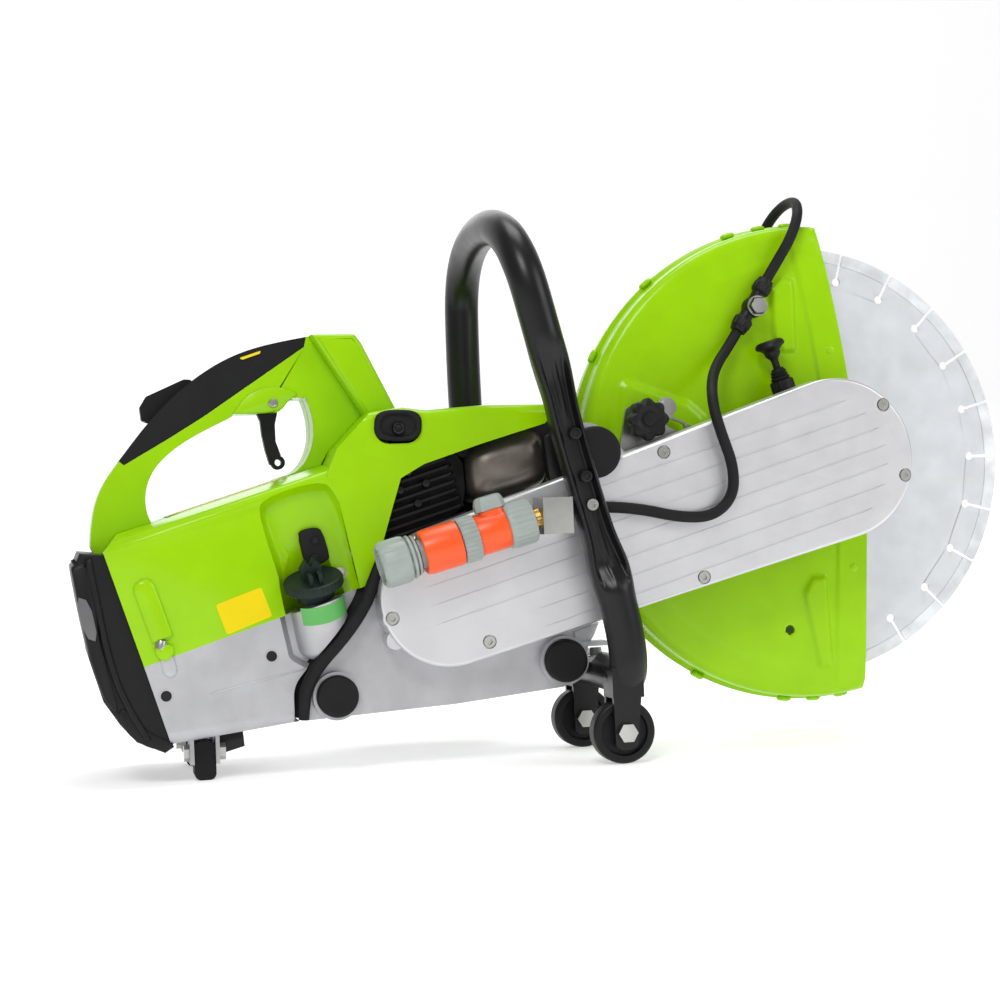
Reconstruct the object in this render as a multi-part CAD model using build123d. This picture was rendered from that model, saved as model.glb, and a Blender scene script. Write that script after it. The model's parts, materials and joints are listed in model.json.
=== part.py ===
"""Petrol cut-off (rescue) saw with a 350 mm blade, built piece by piece.

Millimetres, +Z up.  The saw stands level on its two wheels and two rear feet, with the
floor at z = 0.  +X points forward to the blade, -Y is the near side with the belt cover
and +Y is the far side with the recoil starter.  The blade turns in the plane y = 0.
"""
from build123d import *
import os
from math import atan2, cos, degrees, pi, radians, sin, sqrt, tan

# ---------------------------------------------------------------- driving dimensions
ARM_TILT = 16.5            # the belt arm climbs forward by this angle, degrees
ARM_LENGTH = 324.5         # crankshaft to spindle
CRANK = (-106.0, 129.5)    # crankshaft axis, as (x, z)
BLADE_RADIUS = 175.0
SPINDLE_RADIUS = 10.0
SHAFT_GAP = 0.05           # radial running clearance of a shaft in its bore
BODY_GAP = 0.3             # gap between curved faces that move past each other

BODY_NEAR, BODY_FAR = -66.0, 84.0      # tank, rear body and engine cover
CASE_NEAR, CASE_FAR = -60.0, 40.0      # crankcase
COVER_NEAR = -86.0                     # face of the belt cover
ARM_FAR = -34.0                        # far face of the belt arm
GUARD_FACE = 28.0                      # outer faces of the guard, each side of the blade
GUARD_RADIUS = 190.0
HANDLE_NEAR, HANDLE_FAR = -18.0, 28.0  # rear handle
HANDLE_SPLIT = 5.0                     # seam between the two handle shells
LEG_NEAR_Y, LEG_FAR_Y = -110.5, 99.0   # legs of the front handle
TUBE_RADIUS = 14.0
ARCH = 85.0                # bend radius of the front handle's two upper corners
ENGINE_Y = -6.0                        # middle of the cylinder and the crank webs
SEAM_WIDTH = 9.5                       # seam between the tank and the crankcase

DRIVE_RADIUS, DRIVEN_RADIUS = 20.0, 30.0
BELT_NEAR, BELT_FAR = -79.0, -65.0
COVER_REAR_RADIUS, COVER_FRONT_RADIUS = 52.5, 62.8

WHEEL_RADIUS = 23.8
WHEEL_CENTRE = (16.5, WHEEL_RADIUS)
WHEEL_Y = (-107.0, 10.0)
AXLE_RADIUS = 4.0
FOOT_Y = (-34.0, 58.0)

KIT_Y = -105.0             # axis of the water coupling
KIT_TILT = 14.5
KIT_START = (-160.9, 154.5)
HOSE_RADIUS = 4.25
TEE_Y = -37.0              # hose fitting on the guard

SLOT_COUNT = 24            # slots in the blade rim, and segments between them
SEGMENT_HEIGHT = 9.5
LOCK_OFFSET = -9.0         # the lock plunger stands this far behind the spindle
LOCK_Y = -45.0

PARTS = {}


# ---------------------------------------------------------------- small helpers
def side(y):
    """Sketch plane seen from the near side: sketch x is X, sketch y is Z."""
    return Plane(origin=(0, y, 0), x_dir=(1, 0, 0), z_dir=(0, -1, 0))


def slab(sketch, near, far):
    """A side-view outline made solid from y = near to y = far."""
    return extrude(side(far) * sketch, amount=far - near, dir=(0, -1, 0))


def outline(points, radius=0):
    """Closed outline through the points, with its corners rounded."""
    face = Polygon(*points, align=None)
    return fillet(face.vertices(), radius) if radius else face


def disc(centre, radius, near, far):
    return slab(Pos(*centre) * Circle(radius), near, far)


def ring(centre, outer, inner, near, far):
    return slab(Pos(*centre) * (Circle(outer) - Circle(inner)), near, far)


def arm(along, up=0.0):
    """Side-view point measured along the belt arm from the crankshaft, and above it."""
    c, s = cos(radians(ARM_TILT)), sin(radians(ARM_TILT))
    return (CRANK[0] + along * c - up * s, CRANK[1] + along * s + up * c)


SPINDLE = arm(ARM_LENGTH)
ALONG_ARM = (cos(radians(ARM_TILT)), 0, sin(radians(ARM_TILT)))
ABOVE_ARM = (-sin(radians(ARM_TILT)), 0, cos(radians(ARM_TILT)))


def arm_plane(along, up, y):
    """Plane whose x runs along the arm, whose y climbs away from it, facing near."""
    x, z = arm(along, up)
    return Plane(origin=(x, y, z), x_dir=ALONG_ARM, z_dir=(0, -1, 0))


def tapered(radius_a, radius_b):
    """Outline of a belt run round two circles, one at each end of the arm."""
    lean = sin_inverse((radius_a - radius_b) / ARM_LENGTH)
    up = (sin(lean), cos(lean))
    rear_top = (radius_a * up[0], radius_a * up[1])
    rear_low = (rear_top[0], -rear_top[1])
    front_top = (ARM_LENGTH + radius_b * up[0], radius_b * up[1])
    front_low = (front_top[0], -front_top[1])
    edges = [Line(rear_top, front_top)]
    edges.append(ThreePointArc(front_top, (ARM_LENGTH + radius_b, 0), front_low))
    edges.append(Line(front_low, rear_low))
    edges.append(ThreePointArc(rear_low, (-radius_a, 0), rear_top))
    return Pos(*CRANK) * Rot(0, 0, ARM_TILT) * make_face(edges)


def sin_inverse(value):
    return atan2(value, sqrt(1 - value * value))


def rod(start, direction, radius, length):
    """Round bar from a point along a direction."""
    return extrude(Plane(origin=start, z_dir=direction) * Circle(radius), amount=length)


def box(low, high):
    size = [h - l for l, h in zip(low, high)]
    return Pos(*low) * Box(*size, align=(Align.MIN, Align.MIN, Align.MIN))


def round_edges(part, edges, radius):
    """Round the edges, by less than the wish where the shape has no room for it."""
    for share in (1.0, 0.75, 0.5, 0.3):
        try:
            return fillet(edges, radius * share)
        except ValueError:
            continue
    print("left sharp:", len(edges), "edges at radius", radius)
    return part


def face_edges(part, y):
    """The edges of a slab's face at depth y."""
    return [e for e in part.edges() if abs(e.bounding_box().min.Y - y) < 0.01
            and abs(e.bounding_box().max.Y - y) < 0.01]


def hose(points, radius):
    """Tube along straight runs joined by arcs as large as the runs allow."""
    corners = [Vector(*p) for p in points]
    radii = []
    for a, b, c in zip(corners, corners[1:], corners[2:]):
        turn = radians((b - a).get_angle(c - b))
        radii.append(0.45 * min((b - a).length, (c - b).length) / tan(turn / 2))
    print("arc radii", [round(r, 1) for r in radii])
    path = FilletPolyline(*points, radius=radii)
    tube = sweep(Plane(origin=path @ 0, z_dir=path % 0) * Circle(radius), path=path)
    print("tube volume over section times length", round(tube.volume / (pi * radius**2 * path.length), 4))
    return tube


def keep(name, part):
    PARTS[name] = part
    return part


def largest(part):
    """The main piece of a cut, without the crumbs that the cut leaves."""
    return max(part.solids(), key=lambda solid: solid.volume)


# ---------------------------------------------------------------- blade and spindle
def blade():
    slot_width, slot_bottom, slot_hole = 2.2, 152.0, 3.2
    rim = BLADE_RADIUS - SEGMENT_HEIGHT
    slot = Pos((slot_bottom + BLADE_RADIUS) / 2, 0) * Rectangle(BLADE_RADIUS - slot_bottom, slot_width)
    slot += Pos(slot_bottom, 0) * Circle(slot_hole)
    slots = [Rot(0, 0, 360 / SLOT_COUNT * n) * slot for n in range(SLOT_COUNT)]
    core = Circle(rim) - Circle(SPINDLE_RADIUS) - slots
    keep("blade_core", slab(Pos(*SPINDLE) * core, -1.2, 1.2))
    band = Circle(BLADE_RADIUS) - Circle(rim)
    gaps = [Rot(0, 0, 360 / SLOT_COUNT * n) * Pos(BLADE_RADIUS, 0) * Rectangle(30, slot_width)
            for n in range(SLOT_COUNT)]
    keep("blade_segments", slab(Pos(*SPINDLE) * (band - gaps), -1.7, 1.7))


def spindle():
    shaft = disc(SPINDLE, SPINDLE_RADIUS, -81, 16)
    collar = disc(SPINDLE, 18, -48, -42)
    notches = [Rot(0, 0, ARM_TILT + 90 * n) * Pos(LOCK_OFFSET, 25) * Rectangle(7, 32) for n in range(4)]
    collar -= slab(Pos(*SPINDLE) * Sketch(children=notches), -50, -40)
    nut = slab(Pos(*SPINDLE) * RegularPolygon(10, 6), 16, 24)
    keep("spindle", shaft + collar + nut)
    flange = Circle(50) - Circle(SPINDLE_RADIUS)
    inner = slab(Pos(*SPINDLE) * flange, -6.2, -1.2)
    outer = slab(Pos(*SPINDLE) * flange, 1.2, 6.2) + ring(SPINDLE, 24, SPINDLE_RADIUS, 6.2, 12)
    spacer = ring(SPINDLE, 16, SPINDLE_RADIUS, -31.5, -6.2)
    keep("blade_flanges", Compound(children=[inner + spacer, outer]))
    pulley = ring(SPINDLE, DRIVEN_RADIUS, SPINDLE_RADIUS, BELT_NEAR, BELT_FAR + 2.3)
    pulley += ring(SPINDLE, DRIVEN_RADIUS + 4.5, SPINDLE_RADIUS, BELT_FAR + BODY_GAP, BELT_FAR + 2.3)
    holes = [Rot(0, 0, 60 * n) * Pos(20, 0) * Circle(5) for n in range(6)]
    keep("driven_pulley", pulley - slab(Pos(*SPINDLE) * Sketch(children=holes), -90, -60))


# ---------------------------------------------------------------- engine
def crank_train():
    shaft = disc(CRANK, 7.5, -82, 70)
    for near, far in ((-16, -6), (6, 16)):
        shaft += disc(CRANK, 32, ENGINE_Y + near, ENGINE_Y + far)
    shaft += disc(arm(0, 18), 7, ENGINE_Y - 6, ENGINE_Y + 6)
    keep("crankshaft", shaft)
    wheel = ring(CRANK, 34, 7.5, 48, 60)
    blades = [Rot(0, 0, 30 * n) * Pos(37, 0) * Rectangle(14, 2.4) for n in range(12)]
    keep("flywheel", wheel + slab(Pos(*CRANK) * Sketch(children=blades), 48, 64))
    drum = ring(CRANK, 37, 34, -62, -44) + ring(CRANK, 37, 7.5 + SHAFT_GAP, -64, -61)
    drum += ring(CRANK, DRIVE_RADIUS, 7.5 + SHAFT_GAP, BELT_NEAR, -61)
    keep("clutch_drum", drum)
    races = []
    for near in (-40.0, 18.0):
        races.append(ring(CRANK, 17.5, 7.5 + SHAFT_GAP, near, near + 11))
    for near in (-58.0, -41.0):
        races.append(ring(SPINDLE, 21, SPINDLE_RADIUS + SHAFT_GAP, near, near + 9))
    keep("bearings", Compound(children=races))
    keep("drive_belt", slab(tapered(DRIVE_RADIUS + 3.3, DRIVEN_RADIUS + 3.3), BELT_NEAR + 1, BELT_FAR - 1)
         - slab(tapered(DRIVE_RADIUS + BODY_GAP, DRIVEN_RADIUS + BODY_GAP), BELT_NEAR - 1, BELT_FAR + 1))


def buffer_places():
    """Rubber buffers: (centre, cap radius, near face)."""
    return (((-190.8, 58.8), 15.7, -75.0), ((-15.1, 75.7), 16.5, -75.0), ((9.0, 233.0), 19.7, -94.0))


def seal_path():
    """Seam between the tank and the crankcase, filled by a rubber seal."""
    return FilletPolyline((-156, 152), (-167, 126), (-198, 90), (-218, 66), (-218, 41), radius=[30, 60, 18])


DECK = 42.0                # the cylinder stands this far above the crankshaft


def deck_plane(height=0.0):
    """Plane across the cylinder's axis, at a height above the deck."""
    x, z = arm(0, DECK + height)
    return Plane(origin=(x, ENGINE_Y, z), x_dir=ALONG_ARM, z_dir=ABOVE_ARM)


def crankcase():
    seam = seal_path()
    low_front = [(-99, 47), (-15, 55), (1, 62), (5, 82), (12, 120)]
    rest = Polyline(seam @ 1, *low_front, arm(95, DECK), arm(-44, DECK), seam @ 0)
    body = slab(make_face([*seam.edges(), *rest.edges()]), CASE_NEAR, CASE_FAR)
    body -= slab(trace(seam, SEAM_WIDTH), CASE_NEAR - 1, CASE_FAR + 1)
    for centre, radius, _ in buffer_places()[:2]:
        body += disc(centre, radius + 2.3, CASE_NEAR - 8, CASE_NEAR + 20)
    body -= disc(CRANK, 40, CASE_NEAR - 1, -42)
    body -= disc(CRANK, 34, ENGINE_Y - 18, ENGINE_Y + 18)
    body -= disc(CRANK, 17.5, -43, -29) + disc(CRANK, 17.5, 18, 41)
    body -= disc(CRANK, 11, -45, 45)
    body -= extrude(deck_plane(-14) * Circle(24), amount=20)
    keep("crankcase", body)
    caps = []
    for centre, radius, near in buffer_places():
        far = CASE_NEAR + 6
        cap = disc(centre, radius, near, far)
        caps.append(round_edges(cap, face_edges(cap, near), 3))
    keep("buffer_caps", Compound(children=caps))
    for centre, radius, near in buffer_places()[:2]:
        PARTS["crankcase"] -= disc(centre, radius, CASE_NEAR - 9, CASE_NEAR + 6)


def cylinder():
    fin_count, fin_pitch, bore, plug_radius = 11, 6.3, 24, 5
    height = fin_count * fin_pitch + 3
    barrel = extrude(deck_plane() * Circle(bore + 5), amount=height)
    for n in range(fin_count):
        fin = deck_plane(4 + fin_pitch * n) * Pos(4, 0) * RectangleRounded(72, 90, 6)
        barrel += extrude(fin, amount=2.0)
    barrel -= extrude(deck_plane(-1) * Circle(bore), amount=62)
    barrel -= extrude(deck_plane() * Circle(plug_radius), amount=height + 10)
    keep("cylinder", barrel)
    plug = extrude(deck_plane(61.5) * Circle(plug_radius), amount=14)
    plug += extrude(deck_plane(height) * RegularPolygon(9, 6), amount=6)
    keep("spark_plug", plug + extrude(deck_plane(height + 6) * Circle(6), amount=14))
    box_outline = outline([(-79, 193), (-16, 207), (-16, 247), (-79, 236)], 9)
    can = slab(box_outline, -56, 34)
    keep("muffler", round_edges(can, face_edges(can, -56) + face_edges(can, 34), 8))
    x, z = arm(-54, 74)
    body = slab(Pos(*arm(-43, 74)) * Rot(0, 0, ARM_TILT) * Rectangle(20, 32), ENGINE_Y - 18, ENGINE_Y + 18)
    body -= rod((x, ENGINE_Y, z), ALONG_ARM, 9, 24)
    keep("carburettor", body)


# ---------------------------------------------------------------- belt arm and cover
KNOB_PLACE = (58.2, 257.4)
CLAMP_BOLT = (78.0, 267.0)


def lock_rod(radius, low, high):
    """Round piece of the spindle lock, between two heights above the arm's axis."""
    x, z = arm(ARM_LENGTH + LOCK_OFFSET, low)
    return rod((x, LOCK_Y, z), ABOVE_ARM, radius, high - low)


def belt_arm():
    flat = Pos(*CRANK) * Rot(0, 0, ARM_TILT) * Pos((ARM_LENGTH + 90) / 2, 0) * Rectangle(ARM_LENGTH - 90, 72)
    plate = slab(flat, CASE_NEAR, ARM_FAR) + disc(SPINDLE, 42, CASE_NEAR, ARM_FAR)
    plate += slab(Pos(*buffer_places()[2][0]) * Circle(24), CASE_NEAR, ARM_FAR)
    plate += slab(outline([(-12, 200), (60, 215), (34, 240), (-10, 240)]), CASE_NEAR, ARM_FAR)
    plate += disc(SPINDLE, 30, ARM_FAR, -25)
    plate += lock_rod(9, 36, 50)
    plate -= disc(SPINDLE, 21, -70, -20)
    plate += ring(SPINDLE, 21, 17, -32, -25)
    plate -= lock_rod(3, 10, 60)
    plate -= PARTS["crankcase"]
    plate -= PARTS["muffler"]
    keep("belt_arm", plate - PARTS["buffer_caps"])


def cover_screw_places():
    return ((244.8, 262.6), (261.1, 207.0), (64.2, 231.4), (92.6, 134.6), (-77.3, 94.2), (-150.0, 115.2))


def socket_screw(centre, face, head=4.3, height=3.0, depth=16.0):
    """Socket-head screw with its head standing out of a face towards the near side."""
    body = disc(centre, head, face - height, face) + disc(centre, 2.5, face, face + depth)
    return body - slab(Pos(*centre) * RegularPolygon(2.4, 6), face - height - 1, face - height + 2)


def belt_cover():
    wall, groove_depth, groove_width, well_depth = 3.0, 0.7, 1.5, 2.6
    inside = tapered(COVER_REAR_RADIUS - wall, COVER_FRONT_RADIUS - wall)
    shell = slab(tapered(COVER_REAR_RADIUS, COVER_FRONT_RADIUS), COVER_NEAR, CASE_NEAR)
    shell = round_edges(shell, face_edges(shell, COVER_NEAR), 2.5)
    shell += disc(arm(-48, -18), 7, COVER_NEAR + 6, CASE_NEAR)
    shell -= slab(inside, COVER_NEAR + wall, CASE_NEAR + 1)
    for place in cover_screw_places():
        shell += disc(place, 7, COVER_NEAR + 1, CASE_NEAR)
    for n in range(7):
        up = 41.0 - 14.4 * n
        front = ARM_LENGTH + sqrt(52**2 - up * up) - 10
        rear = -18.0 if up > -25 else 60.0
        half = groove_width / 2
        groove = Polygon((rear, 0), (rear + 45, -half), (front - 8, -half), (front, 0), (front - 8, half),
                         (rear + 45, half), align=None)
        shell -= extrude(arm_plane(0, up, COVER_NEAR) * groove, amount=-groove_depth)
    for place in cover_screw_places():
        shell -= disc(place, 2.5, COVER_NEAR - 1, CASE_NEAR + 1)
        shell -= disc(place, 5.3, COVER_NEAR - 1, COVER_NEAR + well_depth)
    keep("belt_cover", shell - PARTS["buffer_caps"])
    return [socket_screw(place, COVER_NEAR + well_depth) for place in cover_screw_places()]


def spindle_lock():
    barrel = lock_rod(7, 50, 57) + lock_rod(9.5, 57, 70) + lock_rod(7, 70, 80)
    keep("lock_barrel", barrel - lock_rod(3, 40, 90))
    knob = lock_rod(2.9, 17.5, 94) + lock_rod(6, 91, 97) + lock_rod(11.5, 97, 103)
    keep("lock_knob", knob)


def guard_clamp():
    plate = slab(outline([(36, 214), (46, 267), (57, 273), (104, 250), (98, 222)], 5), -50, -46)
    plate -= slab(Pos(86, 253) * Rot(0, 0, -24) * SlotOverall(16, 7), -60, -40)
    stud = disc(KNOB_PLACE, 4, -62, -46)
    keep("guard_bracket", plate + stud - PARTS["belt_arm"])
    lobes = Circle(14)
    for n in range(8):
        lobes += Rot(0, 0, 45 * n) * Pos(12.8, 0) * Circle(3.6)
    knob = slab(Pos(*KNOB_PLACE) * lobes, -74, -60) + disc(KNOB_PLACE, 8, -60, -50.3)
    keep("guard_knob", knob - disc(KNOB_PLACE, 4 + SHAFT_GAP, -63, -40))


# ---------------------------------------------------------------- blade guard
def guard_region(trim=0.0):
    """Half-plane behind the guard's open edge, in coordinates from the spindle."""
    edge = ThreePointArc((10 - trim, 196), (37 - trim, 60), (46 - trim, -63))
    rest = Polyline((46 - trim, -63), (39 - trim, -196), (-200, -196), (-200, 196), (10 - trim, 196))
    return make_face([edge, *rest.edges()])


def guard():
    wall = 2.0
    plate = guard_region() & Circle(GUARD_RADIUS)
    inside = guard_region() & Circle(GUARD_RADIUS - wall)
    lip = guard_region() & (Circle(GUARD_RADIUS + 3) - Circle(GUARD_RADIUS - 1))
    place = Pos(*SPINDLE)
    near = slab(place * plate, -GUARD_FACE, 0)
    near = round_edges(near, rim_edges(near, -GUARD_FACE), 5)
    near -= slab(place * (guard_region(-5) & Circle(GUARD_RADIUS - wall)), -GUARD_FACE + wall, 1)
    band = (guard_region(1) & Circle(GUARD_RADIUS - 9)) - guard_region(24)
    near += slab(place * band, -GUARD_FACE - 1.5, -GUARD_FACE + 1) - disc(SPINDLE, 64, -40, 0)
    near += slab(place * lip, -1.4, 0)
    near -= disc(SPINDLE, 30 + BODY_GAP, -40, -20)
    near -= disc((SPINDLE[0] + 14, SPINDLE[1] - 134), 4, -40, -20)
    keep("guard_near_shell", near)
    far = slab(place * plate, 0, GUARD_FACE)
    far = round_edges(far, rim_edges(far, GUARD_FACE), 5)
    far -= slab(place * (guard_region(-5) & Circle(GUARD_RADIUS - wall)), -1, GUARD_FACE - wall)
    far += slab(place * lip, 0, 1.4)
    keep("guard_far_shell", far - disc(SPINDLE, 56, 20, 40))


def rim_edges(part, y):
    """The round outer edge of a guard face."""
    return [e for e in face_edges(part, y) if e.geom_type == GeomType.CIRCLE
            and abs(e.radius - GUARD_RADIUS) < 0.5]


# ---------------------------------------------------------------- water line
def kit(along, up=0.0):
    c, s = cos(radians(KIT_TILT)), sin(radians(KIT_TILT))
    return (KIT_START[0] + along * c - up * s, KIT_START[1] + along * s + up * c)


VALVE_ALONG, VALVE_UP = 90.5, 16.3    # foot of the shut-off knob, along and above the coupling
ALONG_KIT = (cos(radians(KIT_TILT)), 0, sin(radians(KIT_TILT)))
ABOVE_KIT = (-sin(radians(KIT_TILT)), 0, cos(radians(KIT_TILT)))


def kit_rod(radius, start, end):
    x, z = kit(start)
    return rod((x, KIT_Y, z), ALONG_KIT, radius, end - start)


def knurled(radius, start, end):
    body = kit_rod(radius, start, end)
    x, z = kit(start)
    plane = Plane(origin=(x, KIT_Y, z), z_dir=ALONG_KIT)
    grooves = [Rot(0, 0, 15 * n) * Pos(radius, 0) * Rectangle(1.6, 1.8) for n in range(24)]
    return body - extrude(plane * Sketch(children=grooves), amount=end - start)


WATER_HOSE = ((-17, -91.4, 192), (9, -91.4, 192), (42, -92, 189), (74, -92.5, 181), (100, -93, 181),
              (116, -94, 196), (116, -96, 219), (107, -98, 243), (103, -92, 265), (110, -70, 286),
              (123, -48, 301), (136.8, TEE_Y, 314.8), (146, TEE_Y, 329))
GUARD_HOSE = ((169, TEE_Y, 364.5), (179.12, TEE_Y, 380.12), (190, -41, 398), (200, -35, 417),
              (206, -19, 431), (207, 1, 435), (203, 20, 430), (196, 33, 416), (188, 36, 399))
FAR_NOZZLE = (181.0, 384.0)


def water_line():
    end = kit(122)
    nut = kit_rod(17.5, 0, 22.5) - kit_rod(6.5, -1, 21)
    keep("hose_nut", nut)
    core = kit_rod(11, 22.5, 62) + kit_rod(16, 22.5, 25) + kit_rod(15, 26.5, 28.5)
    sleeve = kit_rod(16.8, 32.3, 61.7) - kit_rod(11 + BODY_GAP, 30, 64)
    keep("coupling_sleeve", sleeve)
    rings = [core + knurled(17, 62, 75), knurled(16.3, 100, 118.5)]
    keep("knurled_rings", Compound(children=rings))
    seat_x, seat_z = kit(VALVE_ALONG, 11)
    valve = kit_rod(15, 75, 100) + rod((seat_x, KIT_Y, seat_z), ABOVE_KIT, 9, 5)
    keep("valve_body", valve)
    top_x, top_z = kit(VALVE_ALONG, VALVE_UP)
    turn = Plane(origin=(top_x, KIT_Y, top_z), x_dir=ALONG_KIT, z_dir=ABOVE_KIT)
    keep("valve_knob", extrude(turn * RectangleRounded(22, 14, 4), amount=9))
    nipple = keep("brass_nipple", kit_rod(7, 118.5, 125) + kit_rod(5, 125, 129))
    low, high = (end[0] + 3, -117, end[1] - 12), (-17, -87.2, end[1] + 15)
    keep("water_block", box(low, high) - nipple - PARTS["belt_cover"])
    keep("water_hose", hose(WATER_HOSE, HOSE_RADIUS))
    low_end, high_end = Vector(*WATER_HOSE[-1]), Vector(*GUARD_HOSE[0])
    run = high_end - low_end
    tee = rod(tuple(low_end), tuple(run), 5.5, run.length)
    mid = low_end + run * 0.5
    tee += disc((mid.X + 2, mid.Z - 1), 8, -43, -GUARD_FACE)
    tee += slab(Pos(mid.X + 2, mid.Z - 1) * RegularPolygon(7.5, 6), -47, -43)
    for start in (low_end, high_end - run.normalized() * 9):
        tee += rod(tuple(start), tuple(run), 7, 9)
    last = Vector(*GUARD_HOSE[-1])
    down = last - Vector(*GUARD_HOSE[-2])
    nozzle = rod(tuple(last), tuple(down), 5.5, 16) + disc(FAR_NOZZLE, 7, GUARD_FACE, last.Y)
    keep("water_tee", Compound(children=[tee, nozzle]))
    keep("guard_hose", hose(GUARD_HOSE, HOSE_RADIUS))


# ---------------------------------------------------------------- tank, body and handle
CAP_CENTRE = (-205.0, -70.0, 141.0)
CAP_LEAN = 20.0            # the filler leans this far towards the near side
CAP_TILT = 11.0            # and this far back
RECESS_DEPTH = 10.0        # hollow round the filler neck


def cap_axis():
    c, s = cos(radians(CAP_TILT)), sin(radians(CAP_TILT))
    return Vector(-s * cos(radians(CAP_LEAN)), -sin(radians(CAP_LEAN)), c * cos(radians(CAP_LEAN)))


def cap_rod(radius, low, high):
    start = Vector(*CAP_CENTRE) + cap_axis() * low
    return rod(tuple(start), tuple(cap_axis()), radius, high - low)


def tank_housing():
    seam = seal_path()
    rest = Polyline(seam @ 1, (-313.5, 30), (-331, 88), (-170, 138), seam @ 0)
    shape = make_face([*seam.edges(), *rest.edges()]) - trace(seam, SEAM_WIDTH)
    tank = slab(shape, BODY_NEAR, BODY_FAR)
    tank = round_edges(tank, [e for y in (BODY_NEAR, BODY_FAR) for e in low_edges(tank, y)], 9)
    pocket = outline([(-233, 130), (-225, 88), (-212, 80), (-191, 80), (-150, 150), (-200, 170)], 8)
    behind = BODY_NEAR + RECESS_DEPTH
    tank -= extrude(side(BODY_NEAR) * pocket, amount=-RECESS_DEPTH, taper=25)
    neck = cap_rod(20.5, -54, -3)
    neck = round_edges(neck, [neck.edges().filter_by(GeomType.CIRCLE).sort_by(Axis.Z)[0]], 9)
    tank += (neck & box((-260, -110, 70), (-150, behind + 2, 200))) & slab(shape, -110, 0)
    cavity = offset(shape, -5, kind=Kind.INTERSECTION)
    tank -= slab(cavity - offset(pocket, 4), BODY_NEAR + 5, BODY_FAR - 5)
    tank -= slab(cavity & offset(pocket, 4), behind + 5, BODY_FAR - 5)
    tank -= cap_rod(15, -40, 0) & box((-260, -110, 70), (-150, behind - 1, 200))
    for hole in ((-316, 66), (-238, 91)):
        tank -= disc(hole, 4, BODY_NEAR - 1, BODY_NEAR + 4)
    for y in FOOT_Y:
        for x in (-297.5, -278.5):
            tank += box((x - 1.5, y - 12, 12), (x + 1.5, y + 12, 37))
    keep("tank_housing", tank)
    seal = slab(trace(seal_path(), SEAM_WIDTH - 0.6), BODY_NEAR + 2, CASE_NEAR + 6)
    keep("gap_seal", largest(seal - PARTS["crankcase"] - tank - PARTS["belt_cover"]))


def low_edges(part, y):
    """The lower outline edges of a face: those that the floor side sees."""
    return [e for e in face_edges(part, y) if e.center().Z < 40]


def rear_feet():
    feet, bolts = [], []
    for y in FOOT_Y:
        foot = box((-296, y - 10, 0), (-280, y + 10, 29))
        feet.append(fillet(foot.edges().filter_by(Axis.Y), 5))
        pin = rod((-302, y, 20), (1, 0, 0), 3.5, 28)
        head = extrude(Plane(origin=(-303, y, 20), z_dir=(1, 0, 0)) * RegularPolygon(6.5, 6), amount=4)
        nut = extrude(Plane(origin=(-277, y, 20), z_dir=(1, 0, 0)) * RegularPolygon(6.5, 6), amount=5)
        bolts.append(pin + head + nut)
    for bolt in bolts:
        feet = [foot - bolt for foot in feet]
        PARTS["tank_housing"] -= bolt
    keep("rear_feet", Compound(children=feet))
    return bolts


def rear_section(low, shoulder, top):
    """Solid whose cross-section has sloping shoulders, running along the arm."""
    near, far = BODY_NEAR, BODY_FAR
    plane = Plane(origin=(CRANK[0], 0, CRANK[1]), x_dir=(0, 1, 0), z_dir=ALONG_ARM)
    section = outline([(near, low), (near, shoulder), (near + 26, top), (far - 26, top), (far, shoulder),
                       (far, low)])
    section = fillet(section.vertices().sort_by(Axis.Y)[2:], 7)
    return extrude(plane * section, amount=320, dir=-plane.z_dir)


def rear_body():
    corners = [(-357, 172), (-331, 88), (-170, 138), (-192, 246), (-206, 234), (-229, 223), (-318, 193),
               (-345, 187)]
    body = slab(outline(corners), BODY_NEAR, BODY_FAR) & rear_section(-120, 117, 122)
    recess = outline([(-240, 206), (-244, 196), (-227, 138), (-221, 110), (-178, 128), (-168, 152),
                      (-179, 189), (-189, 219)], 7)
    body -= extrude(side(BODY_NEAR) * recess, amount=-RECESS_DEPTH, taper=32)
    filter_room = offset(outline([(-345, 165), (-325, 95), (-250, 118), (-250, 200)]), -3)
    body -= slab(filter_room, BODY_NEAR + 22, 78)
    body -= cap_rod(25, -70, 40)
    keep("rear_body", body - PARTS["tank_housing"])


HANDLE_OUTSIDE = [(-365, 176), (-363, 197), (-356, 219), (-340, 242), (-316, 271), (-283, 300.5),
                  (-250, 318.5), (-213, 328), (-195, 331)]
SEAM_LOW = (-157, 269.5)
TRIGGER_PIVOT = (-224, 280)
LEVER_PIVOT = (-288, 294.5)


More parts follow.
